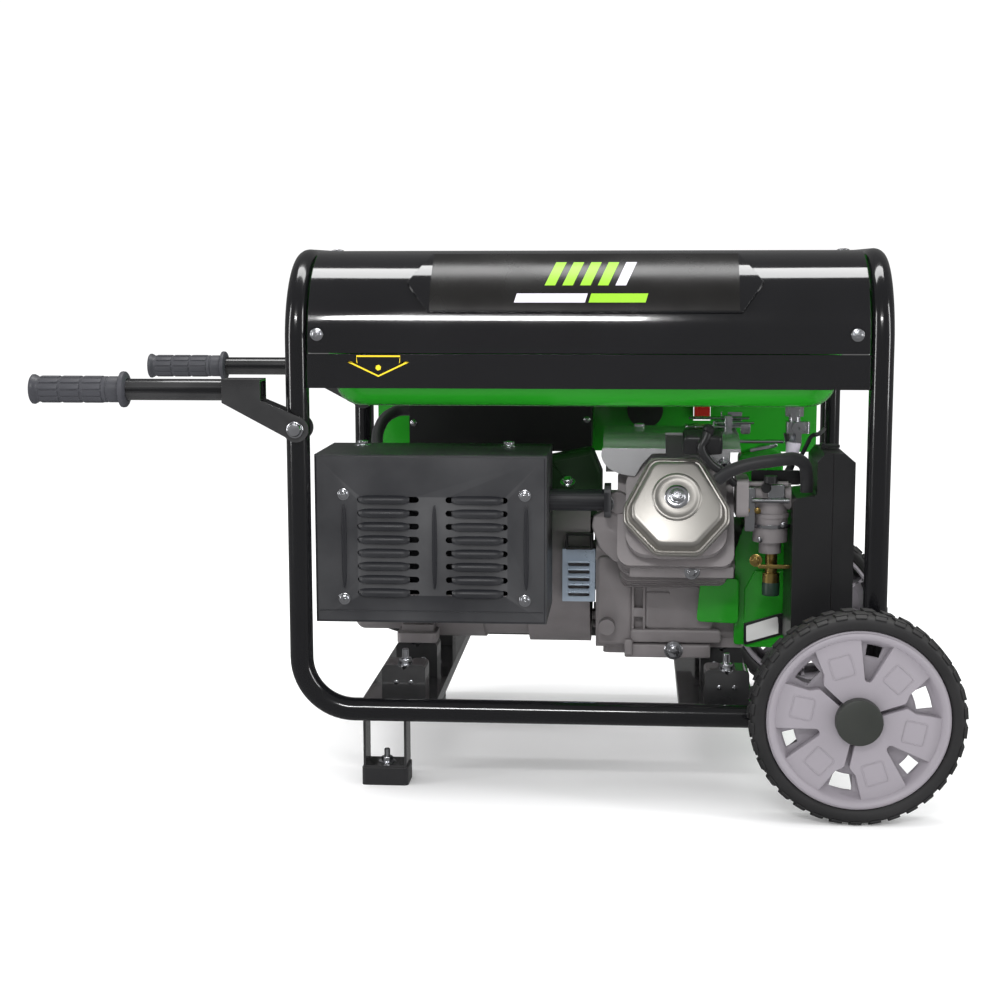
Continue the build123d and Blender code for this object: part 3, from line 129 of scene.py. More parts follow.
# ---------------------------------------------------------------- materials
def material(
    name, colour, rough, metal=0.0, coat=0.0, vary=0.1, grain=900.0, bump=0.05,
    blotch=12.0, dust=0.0, wear=0.0, wear_colour=(0.5, 0.5, 0.5), sheen=0.0, brushed=0.0, edge=0.0006,
):
    """Procedural finish: slow colour drift, fine grain bump, uneven gloss, worn edges and light dust."""
    mat = bpy.data.materials.new(name)
    mat.use_nodes = True
    tree = mat.node_tree
    nodes, links = tree.nodes, tree.links
    shader = nodes["Principled BSDF"]
    shader.inputs["Metallic"].default_value = metal
    shader.inputs["Coat Weight"].default_value = coat
    shader.inputs["Coat Roughness"].default_value = 0.04
    shader.inputs["Sheen Weight"].default_value = sheen
    coords = nodes.new("ShaderNodeTexCoord")
    slow = nodes.new("ShaderNodeTexNoise")
    slow.inputs["Scale"].default_value = blotch
    slow.inputs["Detail"].default_value = 6
    links.new(coords.outputs["Object"], slow.inputs["Vector"])
    fine = nodes.new("ShaderNodeTexNoise")
    fine.inputs["Scale"].default_value = grain
    fine.inputs["Detail"].default_value = 3
    if brushed:
        stretch = nodes.new("ShaderNodeMapping")
        stretch.inputs["Scale"].default_value = (brushed, 1, 1)
        links.new(coords.outputs["Object"], stretch.inputs["Vector"])
        links.new(stretch.outputs["Vector"], fine.inputs["Vector"])
    else:
        links.new(coords.outputs["Object"], fine.inputs["Vector"])
    ramp = nodes.new("ShaderNodeValToRGB")
    dark = [max(0.0, c * (1 - vary)) for c in colour]
    light = [min(1.0, c * (1 + vary)) for c in colour]
    ramp.color_ramp.elements[0].position = 0.3
    ramp.color_ramp.elements[0].color = (*dark, 1)
    ramp.color_ramp.elements[1].position = 0.7
    ramp.color_ramp.elements[1].color = (*light, 1)
    links.new(slow.outputs["Fac"], ramp.inputs["Fac"])
    tint = ramp.outputs["Color"]
    if wear:
        geometry = nodes.new("ShaderNodeNewGeometry")
        edges = nodes.new("ShaderNodeMapRange")
        edges.inputs["From Min"].default_value = 0.53
        edges.inputs["From Max"].default_value = 0.62
        edges.inputs["To Max"].default_value = wear
        links.new(geometry.outputs["Pointiness"], edges.inputs["Value"])
        scuff = nodes.new("ShaderNodeMath")
        scuff.operation = "MULTIPLY"
        links.new(edges.outputs["Result"], scuff.inputs[0])
        links.new(slow.outputs["Fac"], scuff.inputs[1])
        worn = nodes.new("ShaderNodeMix")
        worn.data_type = "RGBA"
        worn.inputs["B"].default_value = (*wear_colour, 1)
        links.new(scuff.outputs["Value"], worn.inputs["Factor"])
        links.new(tint, worn.inputs["A"])
        tint = worn.outputs["Result"]
    if dust:
        geometry = nodes.new("ShaderNodeNewGeometry")
        split = nodes.new("ShaderNodeSeparateXYZ")
        links.new(geometry.outputs["Normal"], split.inputs["Vector"])
        settled = nodes.new("ShaderNodeMapRange")
        settled.inputs["From Min"].default_value = 0.5
        settled.inputs["From Max"].default_value = 1.0
        settled.inputs["To Max"].default_value = dust
        links.new(split.outputs["Z"], settled.inputs["Value"])
        dusty = nodes.new("ShaderNodeMix")
        dusty.data_type = "RGBA"
        dusty.inputs["B"].default_value = (0.42, 0.41, 0.39, 1)
        links.new(settled.outputs["Result"], dusty.inputs["Factor"])
        links.new(tint, dusty.inputs["A"])
        tint = dusty.outputs["Result"]
    links.new(tint, shader.inputs["Base Color"])
    gloss = nodes.new("ShaderNodeMapRange")
    gloss.inputs["From Min"].default_value = 0.3
    gloss.inputs["From Max"].default_value = 0.7
    gloss.inputs["To Min"].default_value = max(0.03, rough * 0.8)
    gloss.inputs["To Max"].default_value = min(1.0, rough * 1.25)
    links.new(slow.outputs["Fac"], gloss.inputs["Value"])
    links.new(gloss.outputs["Result"], shader.inputs["Roughness"])
    round_edge = nodes.new("ShaderNodeBevel")
    round_edge.samples = 4
    round_edge.inputs["Radius"].default_value = edge
    relief = nodes.new("ShaderNodeBump")
    relief.inputs["Strength"].default_value = bump
    relief.inputs["Distance"].default_value = 0.0004
    links.new(fine.outputs["Fac"], relief.inputs["Height"])
    links.new(round_edge.outputs["Normal"], relief.inputs["Normal"])
    links.new(relief.outputs["Normal"], shader.inputs["Normal"])
    return mat


LOOK = {
    "frame_black": material(
        "gloss_frame", (0.005, 0.005, 0.006), 0.16, coat=0.6, grain=260, bump=0.05, wear=0.1
    ),
    "cover_black": material(
        "gloss_cover", (0.006, 0.006, 0.007), 0.10, coat=0.9, grain=180, bump=0.035, edge=0.001
    ),
    "guard_black": material(
        "powder_coat", (0.0125, 0.013, 0.0165), 0.42, grain=1500, bump=0.22, vary=0.12, wear=0.15
    ),
    "green_paint": material(
        "green_enamel", (0.016, 0.285, 0.014), 0.2, coat=0.6, grain=240, bump=0.04, vary=0.06
    ),
    "zinc": material(
        "zinc_plate", (0.62, 0.63, 0.66), 0.24, metal=1.0, vary=0.12, grain=500, bump=0.06, blotch=40
    ),
    "shroud_zinc": material(
        "bright_sheet", (0.80, 0.80, 0.82), 0.2, metal=0.75, vary=0.08, grain=300, bump=0.05, blotch=18
    ),
    "louvre_zinc": material(
        "blue_zinc", (0.42, 0.50, 0.60), 0.3, metal=0.35, vary=0.1, grain=600, bump=0.08, blotch=30
    ),
    "cast_alloy": material(
        "cast_alloy", (0.27, 0.25, 0.255), 0.5, metal=0.4, vary=0.14, grain=1300, bump=0.5, blotch=22
    ),
    "rocker_zinc": material(
        "warm_zinc", (0.40, 0.385, 0.36), 0.36, metal=0.85, vary=0.08, grain=420, bump=0.05, blotch=9
    ),
    "rubber_black": material(
        "soft_rubber", (0.016, 0.016, 0.018), 0.5, grain=1100, bump=0.12, sheen=0.1, dust=0.05
    ),
    "plastic_black": material(
        "moulded_plastic", (0.013, 0.013, 0.014), 0.34, grain=1400, bump=0.2, dust=0.04
    ),
    "tyre": material(
        "tyre_rubber", (0.017, 0.0165, 0.0175), 0.56, grain=1200, bump=0.25, vary=0.2, dust=0.08, edge=0.0008
    ),
    "rim_grey": material(
        "rim_plastic", (0.265, 0.245, 0.272), 0.42, grain=1100, bump=0.1, vary=0.04, blotch=8, edge=0.0014
    ),
    "brass": material(
        "brass", (0.62, 0.44, 0.15), 0.28, metal=1.0, vary=0.12, grain=600, bump=0.08, blotch=60
    ),
    "bright_zinc": material(
        "bright_fastener", (0.78, 0.79, 0.83), 0.2, metal=1.0, vary=0.08, grain=700, bump=0.08, blotch=60
    ),
    "grip_rubber": material("grip_rubber", (0.046, 0.047, 0.056), 0.46, grain=1300, bump=0.15, dust=0.05),
    # darker copy of the green paint: painted shade for green parts lying in shadow
    "painted_shade_green": material("painted_shade_cowl", (0.035, 0.085, 0.034), 0.34, metal=0.3, grain=900, bump=0.2),
    "cap_dark": material("hub_plastic", (0.030, 0.033, 0.029), 0.4, grain=1200, bump=0.15),
    "steel": material("plain_steel", (0.5, 0.5, 0.51), 0.32, metal=1.0, vary=0.1, grain=700, bump=0.08),
    "cast_iron": material("cast_iron", (0.09, 0.088, 0.086), 0.55, metal=0.7, grain=1000, bump=0.4),
    "red_plastic": material("red_plastic", (0.5, 0.015, 0.012), 0.3, coat=0.2, grain=700, bump=0.06),
    "dark_hole": material("shadow_black", (0.004, 0.004, 0.004), 0.7, grain=800, bump=0.1),
    "lime": material("lime_print", (0.27, 0.56, 0.018), 0.35, grain=900, bump=0.04, vary=0.03),
    "pale": material("pale_print", (0.72, 0.68, 0.78), 0.35, grain=900, bump=0.04, vary=0.03),
    "decal": material("decal_film", (0.0095, 0.009, 0.0085), 0.24, grain=500, bump=0.06, vary=0.08),
    "yellow": material("yellow_print", (0.85, 0.62, 0.01), 0.4, grain=900, bump=0.04, vary=0.03),
    "cap_green": material("dark_green_cap", (0.012, 0.035, 0.022), 0.36, grain=800, bump=0.1),
    "white_plastic": material("white_print", (0.75, 0.75, 0.74), 0.4, grain=900, bump=0.04, vary=0.03),
}
NODE_LOOK = {"cylinder_shroud": "shroud_zinc", "louvre_plate": "louvre_zinc"}


def dress_cad():
    """Gives every CAD node its finish and smooth shading by angle."""
    slots = {part["node"]: part["material_slot"] for part in frame["record"]["subparts"]}
    for name, node in NODES.items():
        node.data.materials.clear()
        node.data.materials.append(LOOK[NODE_LOOK.get(name, slots[name])])
        node.data.shade_smooth()
        smooth = node.modifiers.new("smooth_by_angle", "EDGE_SPLIT")
        smooth.split_angle = radians(CAD_SPLIT_DEGREES)


# ---------------------------------------------------------------- mesh kit
def arc(cx, cy, r, a0, a1, n):
    """Points on a circle from angle a0 to a1, in degrees."""
    return [
        (cx + r * cos(radians(a0 + (a1 - a0) * k / n)), cy + r * sin(radians(a0 + (a1 - a0) * k / n)))
        for k in range(n + 1)
    ]


def rounded(points, radius, n=5):
    """Counter-clockwise outline with its corners rounded."""
    out = []
    count = len(points)
    for i in range(count):
        a, b, c = (Vector(points[(i + k) % count]) for k in (-1, 0, 1))
        u, v = (a - b).normalized(), (c - b).normalized()
        half = u.angle(v) / 2
        reach = min(
            radius / max(1e-6, abs(sin(half) / cos(half))), 0.48 * min((a - b).length, (c - b).length)
        )
        p, q = b + u * reach, b + v * reach
        for k in range(n + 1):
            t = k / n
            out.append(tuple(p * (1 - t) ** 2 + b * 2 * t * (1 - t) + q * t ** 2))
    return out


def box_outline(w, h, radius=1.0, cx=0.0, cy=0.0, n=4):
    """Rounded rectangle, counter-clockwise."""
    w, h = w / 2, h / 2
    return rounded([(cx - w, cy - h), (cx + w, cy - h), (cx + w, cy + h), (cx - w, cy + h)], radius, n)


def circle(r, n=40, cx=0.0, cy=0.0):
    """Circle, counter-clockwise."""
    return [(cx + r * cos(2 * pi * k / n), cy + r * sin(2 * pi * k / n)) for k in range(n)]


def hexagon(r, turn=0.0):
    """Hexagon with slightly rounded corners."""
    return rounded([(r * cos(pi * k / 3 + turn), r * sin(pi * k / 3 + turn)) for k in range(6)], r * 0.08, 2)


def inset(points, amount):
    """Outline moved inwards by amount."""
    out = []
    count = len(points)
    for i in range(count):
        a, b, c = (Vector(points[(i + k) % count]) for k in (-1, 0, 1))
        along = (c - a)
        if along.length < 1e-9:
            out.append(tuple(b))
            continue
        normal = Vector((-along.y, along.x)).normalized()
        out.append(tuple(b + normal * amount))
    return out


def place(at, normal=(0, 0, 1), right=(1, 0, 0)):
    """Matrix with its local z along normal and x near right, at a point in mm."""
    z = Vector(normal).normalized()
    x = (Vector(right) - z * Vector(right).dot(z)).normalized()
    y = z.cross(x)
    turn = Matrix((x, y, z)).transposed().to_4x4()
    return Matrix.Translation(Vector(at) * MM) @ turn @ Matrix.Diagonal((MM, MM, MM, 1))


class Kit:
    """Collects shapes of one material on one body into a single piece."""

    def __init__(self, name, body, look):
        self.name, self.body, self.look = name, body, look
        self.verts, self.faces = [], []

    def rings(self, rings, where, cap_low=True, cap_high=True, closed=True):
        """Skins a list of rings of equal size, each a list of local (x, y, z)."""
        base, n = len(self.verts), len(rings[0])
        for ring in rings:
            self.verts += [tuple(where @ Vector(p)) for p in ring]
        for k in range(len(rings) - 1):
            for i in range(n if closed else n - 1):
                j = (i + 1) % n
                a, b = base + k * n, base + (k + 1) * n
                self.faces.append((a + i, a + j, b + j, b + i))
        if cap_low:
            self.faces.append(tuple(base + i for i in reversed(range(n))))
        if cap_high:
            self.faces.append(tuple(base + (len(rings) - 1) * n + i for i in range(n)))

    def prism(self, outline, depth, where, bevel=0.0):
        """Outline pushed along local z, with a rounded top edge."""
        steps = [(0, 0)]
        if bevel:
            steps += [
                (bevel * (1 - cos(radians(a))), depth - bevel * (1 - sin(radians(a))))
                for a in (0, 30, 60, 90)
            ]
        else:
            steps.append((0, depth))
        self.rings([[(x, y, z) for x, y in inset(outline, off)] for off, z in steps], where)

    def lathe(self, profile, where, segments=48, caps=True):
        """Profile of (radius, height) turned about local z."""
        ring_list = []
        for r, z in profile:
            ring_list.append(
                [(r * cos(2 * pi * k / segments), r * sin(2 * pi * k / segments), z) for k in range(segments)]
            )
        self.rings(ring_list, where, cap_low=caps, cap_high=caps)

    def ring_plate(self, outer, inner, depth, where, bevel=0.3):
        """Flat ring between two outlines with the same number of points."""
        rings_list = [
            [(x, y, 0) for x, y in inner], [(x, y, 0) for x, y in outer],
            [(x, y, depth - bevel) for x, y in outer], [(x, y, depth) for x, y in inset(outer, bevel)],
            [(x, y, depth) for x, y in inset(inner, -bevel)], [(x, y, depth - bevel) for x, y in inner],
            [(x, y, 0) for x, y in inner],
        ]
        self.rings(rings_list, where, cap_low=False, cap_high=False)

    def bolt(self, at, normal, size=6.0, head=4.0, washer=1.0, right=(1, 0, 0)):
        """Hex head with a dished face on a flat washer; size is the hex corner radius."""
        where = place(at, normal, right)
        if washer:
            self.lathe([(size * 1.45, 0), (size * 1.45, washer * 0.7), (size * 1.35, washer)], where, 28)
        low = place(Vector(at) + Vector(normal).normalized() * washer, normal, right)
        self.prism(hexagon(size), head, low, bevel=size * 0.14)
        top = place(Vector(at) + Vector(normal).normalized() * (washer + head), normal, right)
        self.lathe([(size * 0.62, -0.02), (size * 0.55, 0.35), (size * 0.3, 0.5)], top, 20)

    def dome_screw(self, at, normal, r=6.5, height=3.2):
        """Domed flange screw with a cross recess."""
        where = place(at, normal)
        self.lathe(
            [
                (r, 0), (r, 0.7), (r * 0.93, 1.0), (r * 0.72, 1.2), (r * 0.66, height * 0.8),
                (r * 0.5, height), (r * 0.3, height + 0.1)
            ],
            where, 32
        )
        for turn in (0, 1):
            cross = place(
                Vector(at) + Vector(normal).normalized() * (height - 0.1), normal,
                (1, 0, 0) if turn else (0, 0.01, 1)
            )
            self.prism(box_outline(r * 0.8, r * 0.16, 0.1), 0.35, cross)

    def wire(self, points, radius, segments=10):
        """Round bar through a smooth run of points, in mm."""
        pts = smooth_run([Vector(p) for p in points])
        rings_list = []
        side = None
        for i, p in enumerate(pts):
            ahead = (pts[min(i + 1, len(pts) - 1)] - pts[max(i - 1, 0)]).normalized()
            if side is None:
                side = ahead.orthogonal().normalized()
            side = (side - ahead * side.dot(ahead)).normalized()
            up = ahead.cross(side)
            r = radius(i / (len(pts) - 1)) if callable(radius) else radius
            rings_list.append(
                [
                    tuple(p + side * (r * cos(2 * pi * k / segments)) + up * (r * sin(2 * pi * k / segments)))
                    for k in range(segments)
                ]
            )
        self.rings(rings_list, Matrix.Diagonal((MM, MM, MM, 1)))

    def done(self, replaces=(), smooth=35):
        """Makes the object, dresses it, and ties it to its body."""
        mesh = bpy.data.meshes.new(self.name)
        mesh.from_pydata(self.verts, [], self.faces)
        mesh.validate()
        piece = bpy.data.objects.new(self.name, mesh)
        bpy.context.scene.collection.objects.link(piece)
        mesh.materials.append(LOOK[self.look])
        mesh.shade_smooth()
        split = piece.modifiers.new("smooth_by_angle", "EDGE_SPLIT")
        split.split_angle = radians(smooth)
        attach(piece, self.body)
        if replaces:
            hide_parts(*replaces)
        return piece


def smooth_run(points, per=8):
    """Catmull-Rom points through the given ones."""
    if len(points) < 3:
        return points
    ends = [points[0] * 2 - points[1]] + points + [points[-1] * 2 - points[-2]]
    out = []
    for i in range(1, len(ends) - 2):
        p0, p1, p2, p3 = ends[i - 1:i + 3]
        for k in range(per):
            t = k / per
            out.append(
                0.5 * (
                    (2 * p1) + (p2 - p0) * t + (
                        2 * p0 - 5 * p1 + 4 * p2 - p3
                    ) * t * t + (3 * p1 - p0 - 3 * p2 + p3) * t ** 3
                )
            )
    out.append(points[-1])
    return out


build_camera()
build_stage()
dress_cad()


def polar(r, degrees):
    """Point at a radius and angle."""
    return (r * cos(radians(degrees)), r * sin(radians(degrees)))


def bar(p, q, width):
    """Outline of a straight bar between two points, counter-clockwise."""
    a, b = Vector(p), Vector(q)
    side = Vector((-(b - a).y, (b - a).x)).normalized() * width / 2
    return [tuple(a - side), tuple(b - side), tuple(b + side), tuple(a + side)]


def moved(where, x=0.0, y=0.0, z=0.0, turn=0.0):
    """The same placing, shifted and turned in its own plane."""
    return where @ Matrix.Translation((x, y, z)) @ Matrix.Rotation(radians(turn), 4, "Z")


# ---------------------------------------------------------------- wheels
SLOT_ANGLES = (18, 138, 258)


def star_outline():
    """Six arms: wide flared gaps over the slots, narrow V-notches between."""
    points = []
    for base in SLOT_ANGLES:
        notch = base + 60
        points += [polar(24, base + 6), polar(54, base + 3), polar(57, base + 5), polar(63, base + 10.5)]
        points += [polar(92, base + 15.5 + 32.9 * k / 6) for k in range(7)]
        points += [
            polar(47, notch - 5), polar(44.5, notch - 2.5), polar(44.5, notch + 2.5), polar(47, notch + 5)
        ]
        points += [polar(92, notch + 11.6 + 32.9 * k / 6) for k in range(7)]
        points += [
            polar(63, base + 109.5), polar(57, base + 115), polar(54, base + 117), polar(24, base + 114)
        ]
    return points


def in_window(r, degrees):
    """Whether the dish is open here: a window behind every gap between arms."""
    for k in range(6):
        centre = SLOT_ANGLES[0] + 60 * k
        away = abs((degrees - centre + 180) % 360 - 180)
        if k % 2 == 0 and 65 < r < 84 and away < 8:
            return True
        if k % 2 == 1 and 71 < r < 86 and away < 7:
            return True
    return False


def wheel(label, side):
    """Tyre with block tread, and a dished rim with six arms, windows and back ribs."""
    body = f"wheel_{label}"
    hub = place((WHEEL_X, side * WHEEL_Y, WHEEL_Z), (0, side, 0), (-side, 0, 0))
    skin = Kit(f"tyre_skin_{label}", body, "tyre")
    wall = [
        (101.5, 18.5), (102.2, 21.2), (104.5, 22.6), (108.5, 23.7), (112.5, 23.4), (115.4, 21.6), (117, 18.2),
        (117.6, 12), (117.8, 0)
    ]
    wall = wall + [(r, -z) for r, z in reversed(wall[:-1])] + [(101.5, 18.5)]
    skin.lathe(wall, hub, 120, caps=False)
    for k in range(TYRE_BLOCKS):
        for row in (-1, 1):
            angle = 360 * (k + (0.5 if row > 0 else 0.0)) / TYRE_BLOCKS
            at = hub @ Vector((*polar(117, angle), row * 10.2))
            out = hub.to_3x3() @ Vector((*polar(1, angle), 0))
            along = hub.to_3x3() @ Vector((*polar(1, angle + 90), 0))
            block = [(-8.2, -7), (5.4, -7), (8.2, 7), (-5.4, 7)]
            if row > 0:
                block = [(-x, -y) for x, y in block]
            if side < 0:
                block = [(-x, y) for x, y in reversed(block)]
            skin.prism(rounded(block, 1.0, 2), 2.85, place(at / MM, out, along), bevel=0.7)
            edge = hub @ Vector((*polar(116.2, angle), row * 20.3))
            tilt = hub.to_3x3() @ Vector((*polar(1, angle), row * 0.75))
            skin.prism(box_outline(12.5, 5.6, 1.2, n=2), 1.5, place(edge / MM, tilt, along), bevel=0.7)
    skin.done(replaces=[f"tyre_{label}"], smooth=40)
    rim = Kit(f"rim_face_{label}", body, "rim_grey")
    rim.prism(star_outline(), 14.6, moved(hub, z=4.2), bevel=0.9)
    for k in range(6):
        centre = 60 * k - 12
        ridge = moved(hub, *polar(63, centre), 18.75, centre - 90)
        rim.ring_plate(box_outline(26, 25, 3.5), box_outline(23.6, 22.6, 2.6), 0.65, ridge, bevel=0.3)
    rim.lathe(
        [
            (99.2, 21.6), (100.9, 20.8), (101.5, 18.6), (101.5, -18.6), (100.4, -20.8), (97.2, -21.2),
            (95.4, -18), (95.8, 4)
        ],
        hub, 120, caps=False
    )
    rim.lathe([(25, 2.5), (24.4, -20), (22.5, -21.4), (9, -21.4), (8.4, -20)], hub, 48, caps=False)
    for k in range(12):
        for lean in (-31, 31):
            rim.prism(bar(polar(25, 30 * k), polar(95.5, 30 * k + lean), 2.2), 19.5, moved(hub, z=-17.8))
    rim.done(replaces=[f"rim_{label}"], smooth=34)
    dish = Kit(f"rim_dish_{label}", body, "rim_grey")
    steps = [
        (24, 3), (40, 3), (54, 2.6), (60, 2.4), (65.5, 2.3), (71, 2.5), (78, 3.2), (83.5, 4.6), (86, 6),
        (88.5, 9), (91, 13.5), (92.6, 17.2), (94, 19.6), (96.5, 21.4), (99.2, 21.6)
    ]
    turns = 120
    ring_start = len(dish.verts)
    for r, z in steps:
        dish.verts += [tuple(hub @ Vector((*polar(r, 360 * t / turns), z))) for t in range(turns)]
    for i in range(len(steps) - 1):
        for t in range(turns):
            if in_window((steps[i][0] + steps[i + 1][0]) / 2, 360 * (t + 0.5) / turns):
                continue
            a, b, u = ring_start + i * turns, ring_start + (i + 1) * turns, (t + 1) % turns
            dish.faces.append((a + t, a + u, b + u, b + t))
    piece = dish.done(smooth=34)
    wall_thickness = piece.modifiers.new("thickness", "SOLIDIFY")
    wall_thickness.thickness = 2.4 * MM
    wall_thickness.offset = -1
    cap = Kit(f"hub_cap_skin_{label}", body, "cap_dark")
    cap.lathe([(25.2, 17), (26, 19), (26, 29.6), (25.4, 31.2), (23.6, 32), (12, 32.6), (0.01, 32.8)], hub, 72)
    cap.done(replaces=[f"hub_cap_{label}"])


wheel("back", -1)
wheel("front", 1)


# ---------------------------------------------------------------- handles
def grip(label, side):
    """Rubber sleeve with three bands of raised blocks, a smooth collar and a flange."""
    where = place((HANDLE_END_X, side * HANDLE_Y, HANDLE_Z), (1, 0, 0), (0, 1, 0))
    sleeve = Kit(f"grip_skin_{label}", f"handle_{label}", "grip_rubber")
    sleeve.lathe(
        [(0.01, 0.3), (12, 0.3), (15.8, 0.6), (17.2, 1.8), (17.4, 4), (16.2, 6.6), (14.9, 8.4), (14.7, 10), (14.7, 86), (15.2, 87),
         (15.2, 90), (14.5, 90.6), (14.5, 92), (15.2, 92.6), (15.2, 103), (14.6, 104.5), (17, 105.2),
         (20.6, 107), (21, 109), (20.6, 111.6),
         (19, 113), (14, 113.6), (13, 113.9)],
        where, 64, caps=False,
    )
    for band in range(3):
        for k in range(12):
            angle = 30 * k + 15
            out = where.to_3x3() @ Vector((*polar(1, angle), 0))
            at = where @ Vector((*polar(14.3, angle), 23.4 + 25.4 * band))
            sleeve.prism(box_outline(22.6, 6.1, 1.6, n=3), 1.25, place(at / MM, out, (1, 0, 0)), bevel=0.55)
    sleeve.done(replaces=[f"grip_{label}"])


grip("back", -1)
grip("front", 1)
bolts = Kit("pivot_heads", "frame", "bright_zinc")
for side in (-1, 1):
    for edge in (-1, 1):
        at = (PIVOT_X, side * HANDLE_Y + edge * PIVOT_HALF, PIVOT_Z)
        bolts.lathe(
            [(9.6, 0), (9.6, 1.6), (8.8, 2.4), (8.0, 2.6), (7.8, 4.6), (6.6, 6.2), (4, 6.9), (0.01, 7.1)],
            place(at, (0, edge, 0)), 40
        )
bolts.done(replaces=["pivot_bolts"])


# ---------------------------------------------------------------- muffler guard
GUARD_FACE = -240


def louvre(kit, x, z):
    """One pressed hood, proud at its lower lip and pinched at both ends."""
    stations = []
    half = 30
    for k in range(17):
        u = -1 + 2 * k / 16
        lift = 4.4 * (1 - abs(u) ** 7) ** 0.5 + 0.02
        grow = 0.55 + 0.45 * (1 - abs(u) ** 6)
        section = [
            (5.6 * grow, 0.02), (4.6 * grow, 0.34 * lift), (2.4 * grow, 0.8 * lift),
            (-0.6 * grow, 1.0 * lift), (-3.2 * grow, 0.94 * lift), (-4.6 * grow, 0.7 * lift),
            (-4.9 * grow, 0.2 * lift), (-4.9 * grow, -0.3)
        ]
        stations.append([(x + half * u, GUARD_FACE - d, z + h) for h, d in section])
    kit.rings(stations, Matrix.Diagonal((MM, MM, MM, 1)), cap_low=False, cap_high=False, closed=False)


hoods = Kit("guard_louvres", "frame", "guard_black")
for x in (-124, -15):
    for row in range(8):
        louvre(hoods, x, 349.5 - 15.6 * row)
for x in (-170.6, -65, 41.5):
    rib = place((x, GUARD_FACE + 0.3, 294.5), (0, -1, 0), (1, 0, 0))
    hoods.rings(
        [
            [(px * w, py * h, d) for px, py in box_outline(1, 1, 0.5, n=6)]
            for w, h, d in ((6.4, 100, 0), (5.6, 99, 1.1), (4.2, 97.6, 2.0), (2.4, 96, 2.5), (0.8, 94, 2.7))
        ],
        rib
    )
hoods.prism(
    box_outline(262, 1.6, 0.8), 0.9, place((-70, GUARD_FACE + 0.2, 219), (0, -1, 0), (1, 0, 0)), bevel=0.6
)
hoods.done(smooth=50)
screws = Kit("guard_screws", "frame", "bright_zinc")
for x, z in ((-171, 356), (40, 356), (-171, 233), (40, 233)):
    screws.dome_screw((x, GUARD_FACE, z), (0, -1, 0), 7)
for side in (-1, 1):
    for x in COVER_SIDE_SCREWS_X:
        screws.dome_screw((x, side * 257.6, 541), (0, side, 0), 7.2, 3.2)
    for x in COVER_TOP_SCREWS_X:
        screws.dome_screw((x, side * 120, 636.4), (0, 0, 1), 7, 1.6)
for x in (-165, 14):
    screws.bolt((x, -130, 402), (0, 0, 1), size=6.6, head=4.6, washer=1.2)
screws.done(replaces=["cover_screws"])


# ---------------------------------------------------------------- side cover print and label
def film_strip(kit, side, left, right, low, high, lift=0.25, lean=0.0, steps=14):
    """Quad strip following the panel's bend, with slanted ends if lean is given."""
    centre_y, centre_z, radius = 151, 529.5, 106.5 + 3 + lift
    rows = []
    for k in range(steps + 1):
        z = low + (high - low) * k / steps
        rise = min((z - centre_z) / radius, 0.9995)
        y = side * (centre_y + radius * sqrt(1 - rise * rise))
        shift = lean * k / steps
        rows.append([(left + shift, y, z), (right + shift, y, z)])
    kit.rings(rows, Matrix.Diagonal((MM, MM, MM, 1)), cap_low=False, cap_high=False, closed=False)


for label, side in (("back", -1), ("front", 1)):
    film = Kit(f"cover_film_{label}", "frame", "decal")
    film_strip(film, side, -68, 281, 568, 631.5)
    film.done(smooth=60)
    bars = Kit(f"cover_bars_{label}", "frame", "lime")
    for k in range(4):
        film_strip(bars, side, 62 + 20 * k, 74 + 20 * k, 596, 622, lift=0.5, lean=12)
    film_strip(bars, side, 112, 176, 577, 587, lift=0.5, lean=3)
    bars.done(smooth=60)
    pale = Kit(f"cover_pale_{label}", "frame", "pale")
    film_strip(pale, side, 142, 154, 596, 622, lift=0.5, lean=12)
    film_strip(pale, side, 28, 108, 577, 587, lift=0.5, lean=3)
    pale.done(smooth=60)


# ---------------------------------------------------------------- engine, muffler side
BORE_RISE, BORE_RUN = sin(radians(25)), cos(radians(25))


def back(x, y, z):
    """Placing that faces the muffler side, local axes along +X and +Z."""
    return place((x, y, z), (0, -1, 0), (1, 0, 0))


def bore(x, up, out):
    """Placing square to the cylinder, measured from the middle of the head's face."""
    reach = 234 + out
    at = (214.5 + x, 30 - BORE_RUN * reach + BORE_RISE * up, 235 + BORE_RISE * reach + BORE_RUN * up)
    return place(at, (0, -BORE_RUN, BORE_RISE), (1, 0, 0))


ROCKER = rounded(
    [(-62, -2), (-62, -20), (-25, -60), (27, -60), (62, -20), (62, -2), (27, 60), (-31, 60)], 15, 6
)


def rocker_ring(scale, z):
    """The rocker cover's outline, scaled, at a height."""
    return [(x * scale, y * scale, z) for x, y in ROCKER]


SEAT = bore(0, -4, 0)
casting = Kit("head_casting", "frame", "cast_alloy")
casting.rings([rocker_ring(0.95, 0), rocker_ring(0.95, 17), rocker_ring(0.93, 18)], SEAT)
wing = [
    (117, 322), (115, 309), (124, 283), (140, 268), (156, 261), (170, 251), (283, 251), (287, 262),
    (276, 280),
    (246, 274), (166, 300), (152, 326), (128, 328),
]
casting.prism(rounded(wing, 5, 3), 9, back(0, -148, 0), bevel=2.5)
casting.prism(box_outline(124, 14, 3), 19, back(222, -155, 257.5), bevel=1.6)
casting.lathe([(7, 0), (7, 22), (5.6, 24), (0.01, 24)], back(179, -152, 268), 24)
casting.prism(box_outline(44, 112, 9), 26, back(142, -68, 207), bevel=5)
casting.lathe(
    [(0.01, 0), (7, 0), (8.4, 1.5), (8.4, 40), (7.4, 42), (0.01, 42)], place((121, -96, 223), (1, 0, 0)), 32
)
casting.lathe([(0.01, 0), (9, 0), (10, 1.5), (10, 24), (0.01, 24)], back(133, -88, 176), 32)
for x, tall in ((165, 104), (179, 96)):
    casting.prism(box_outline(3.4, tall, 1.4), 14, back(x, -80, 205), bevel=1.1)
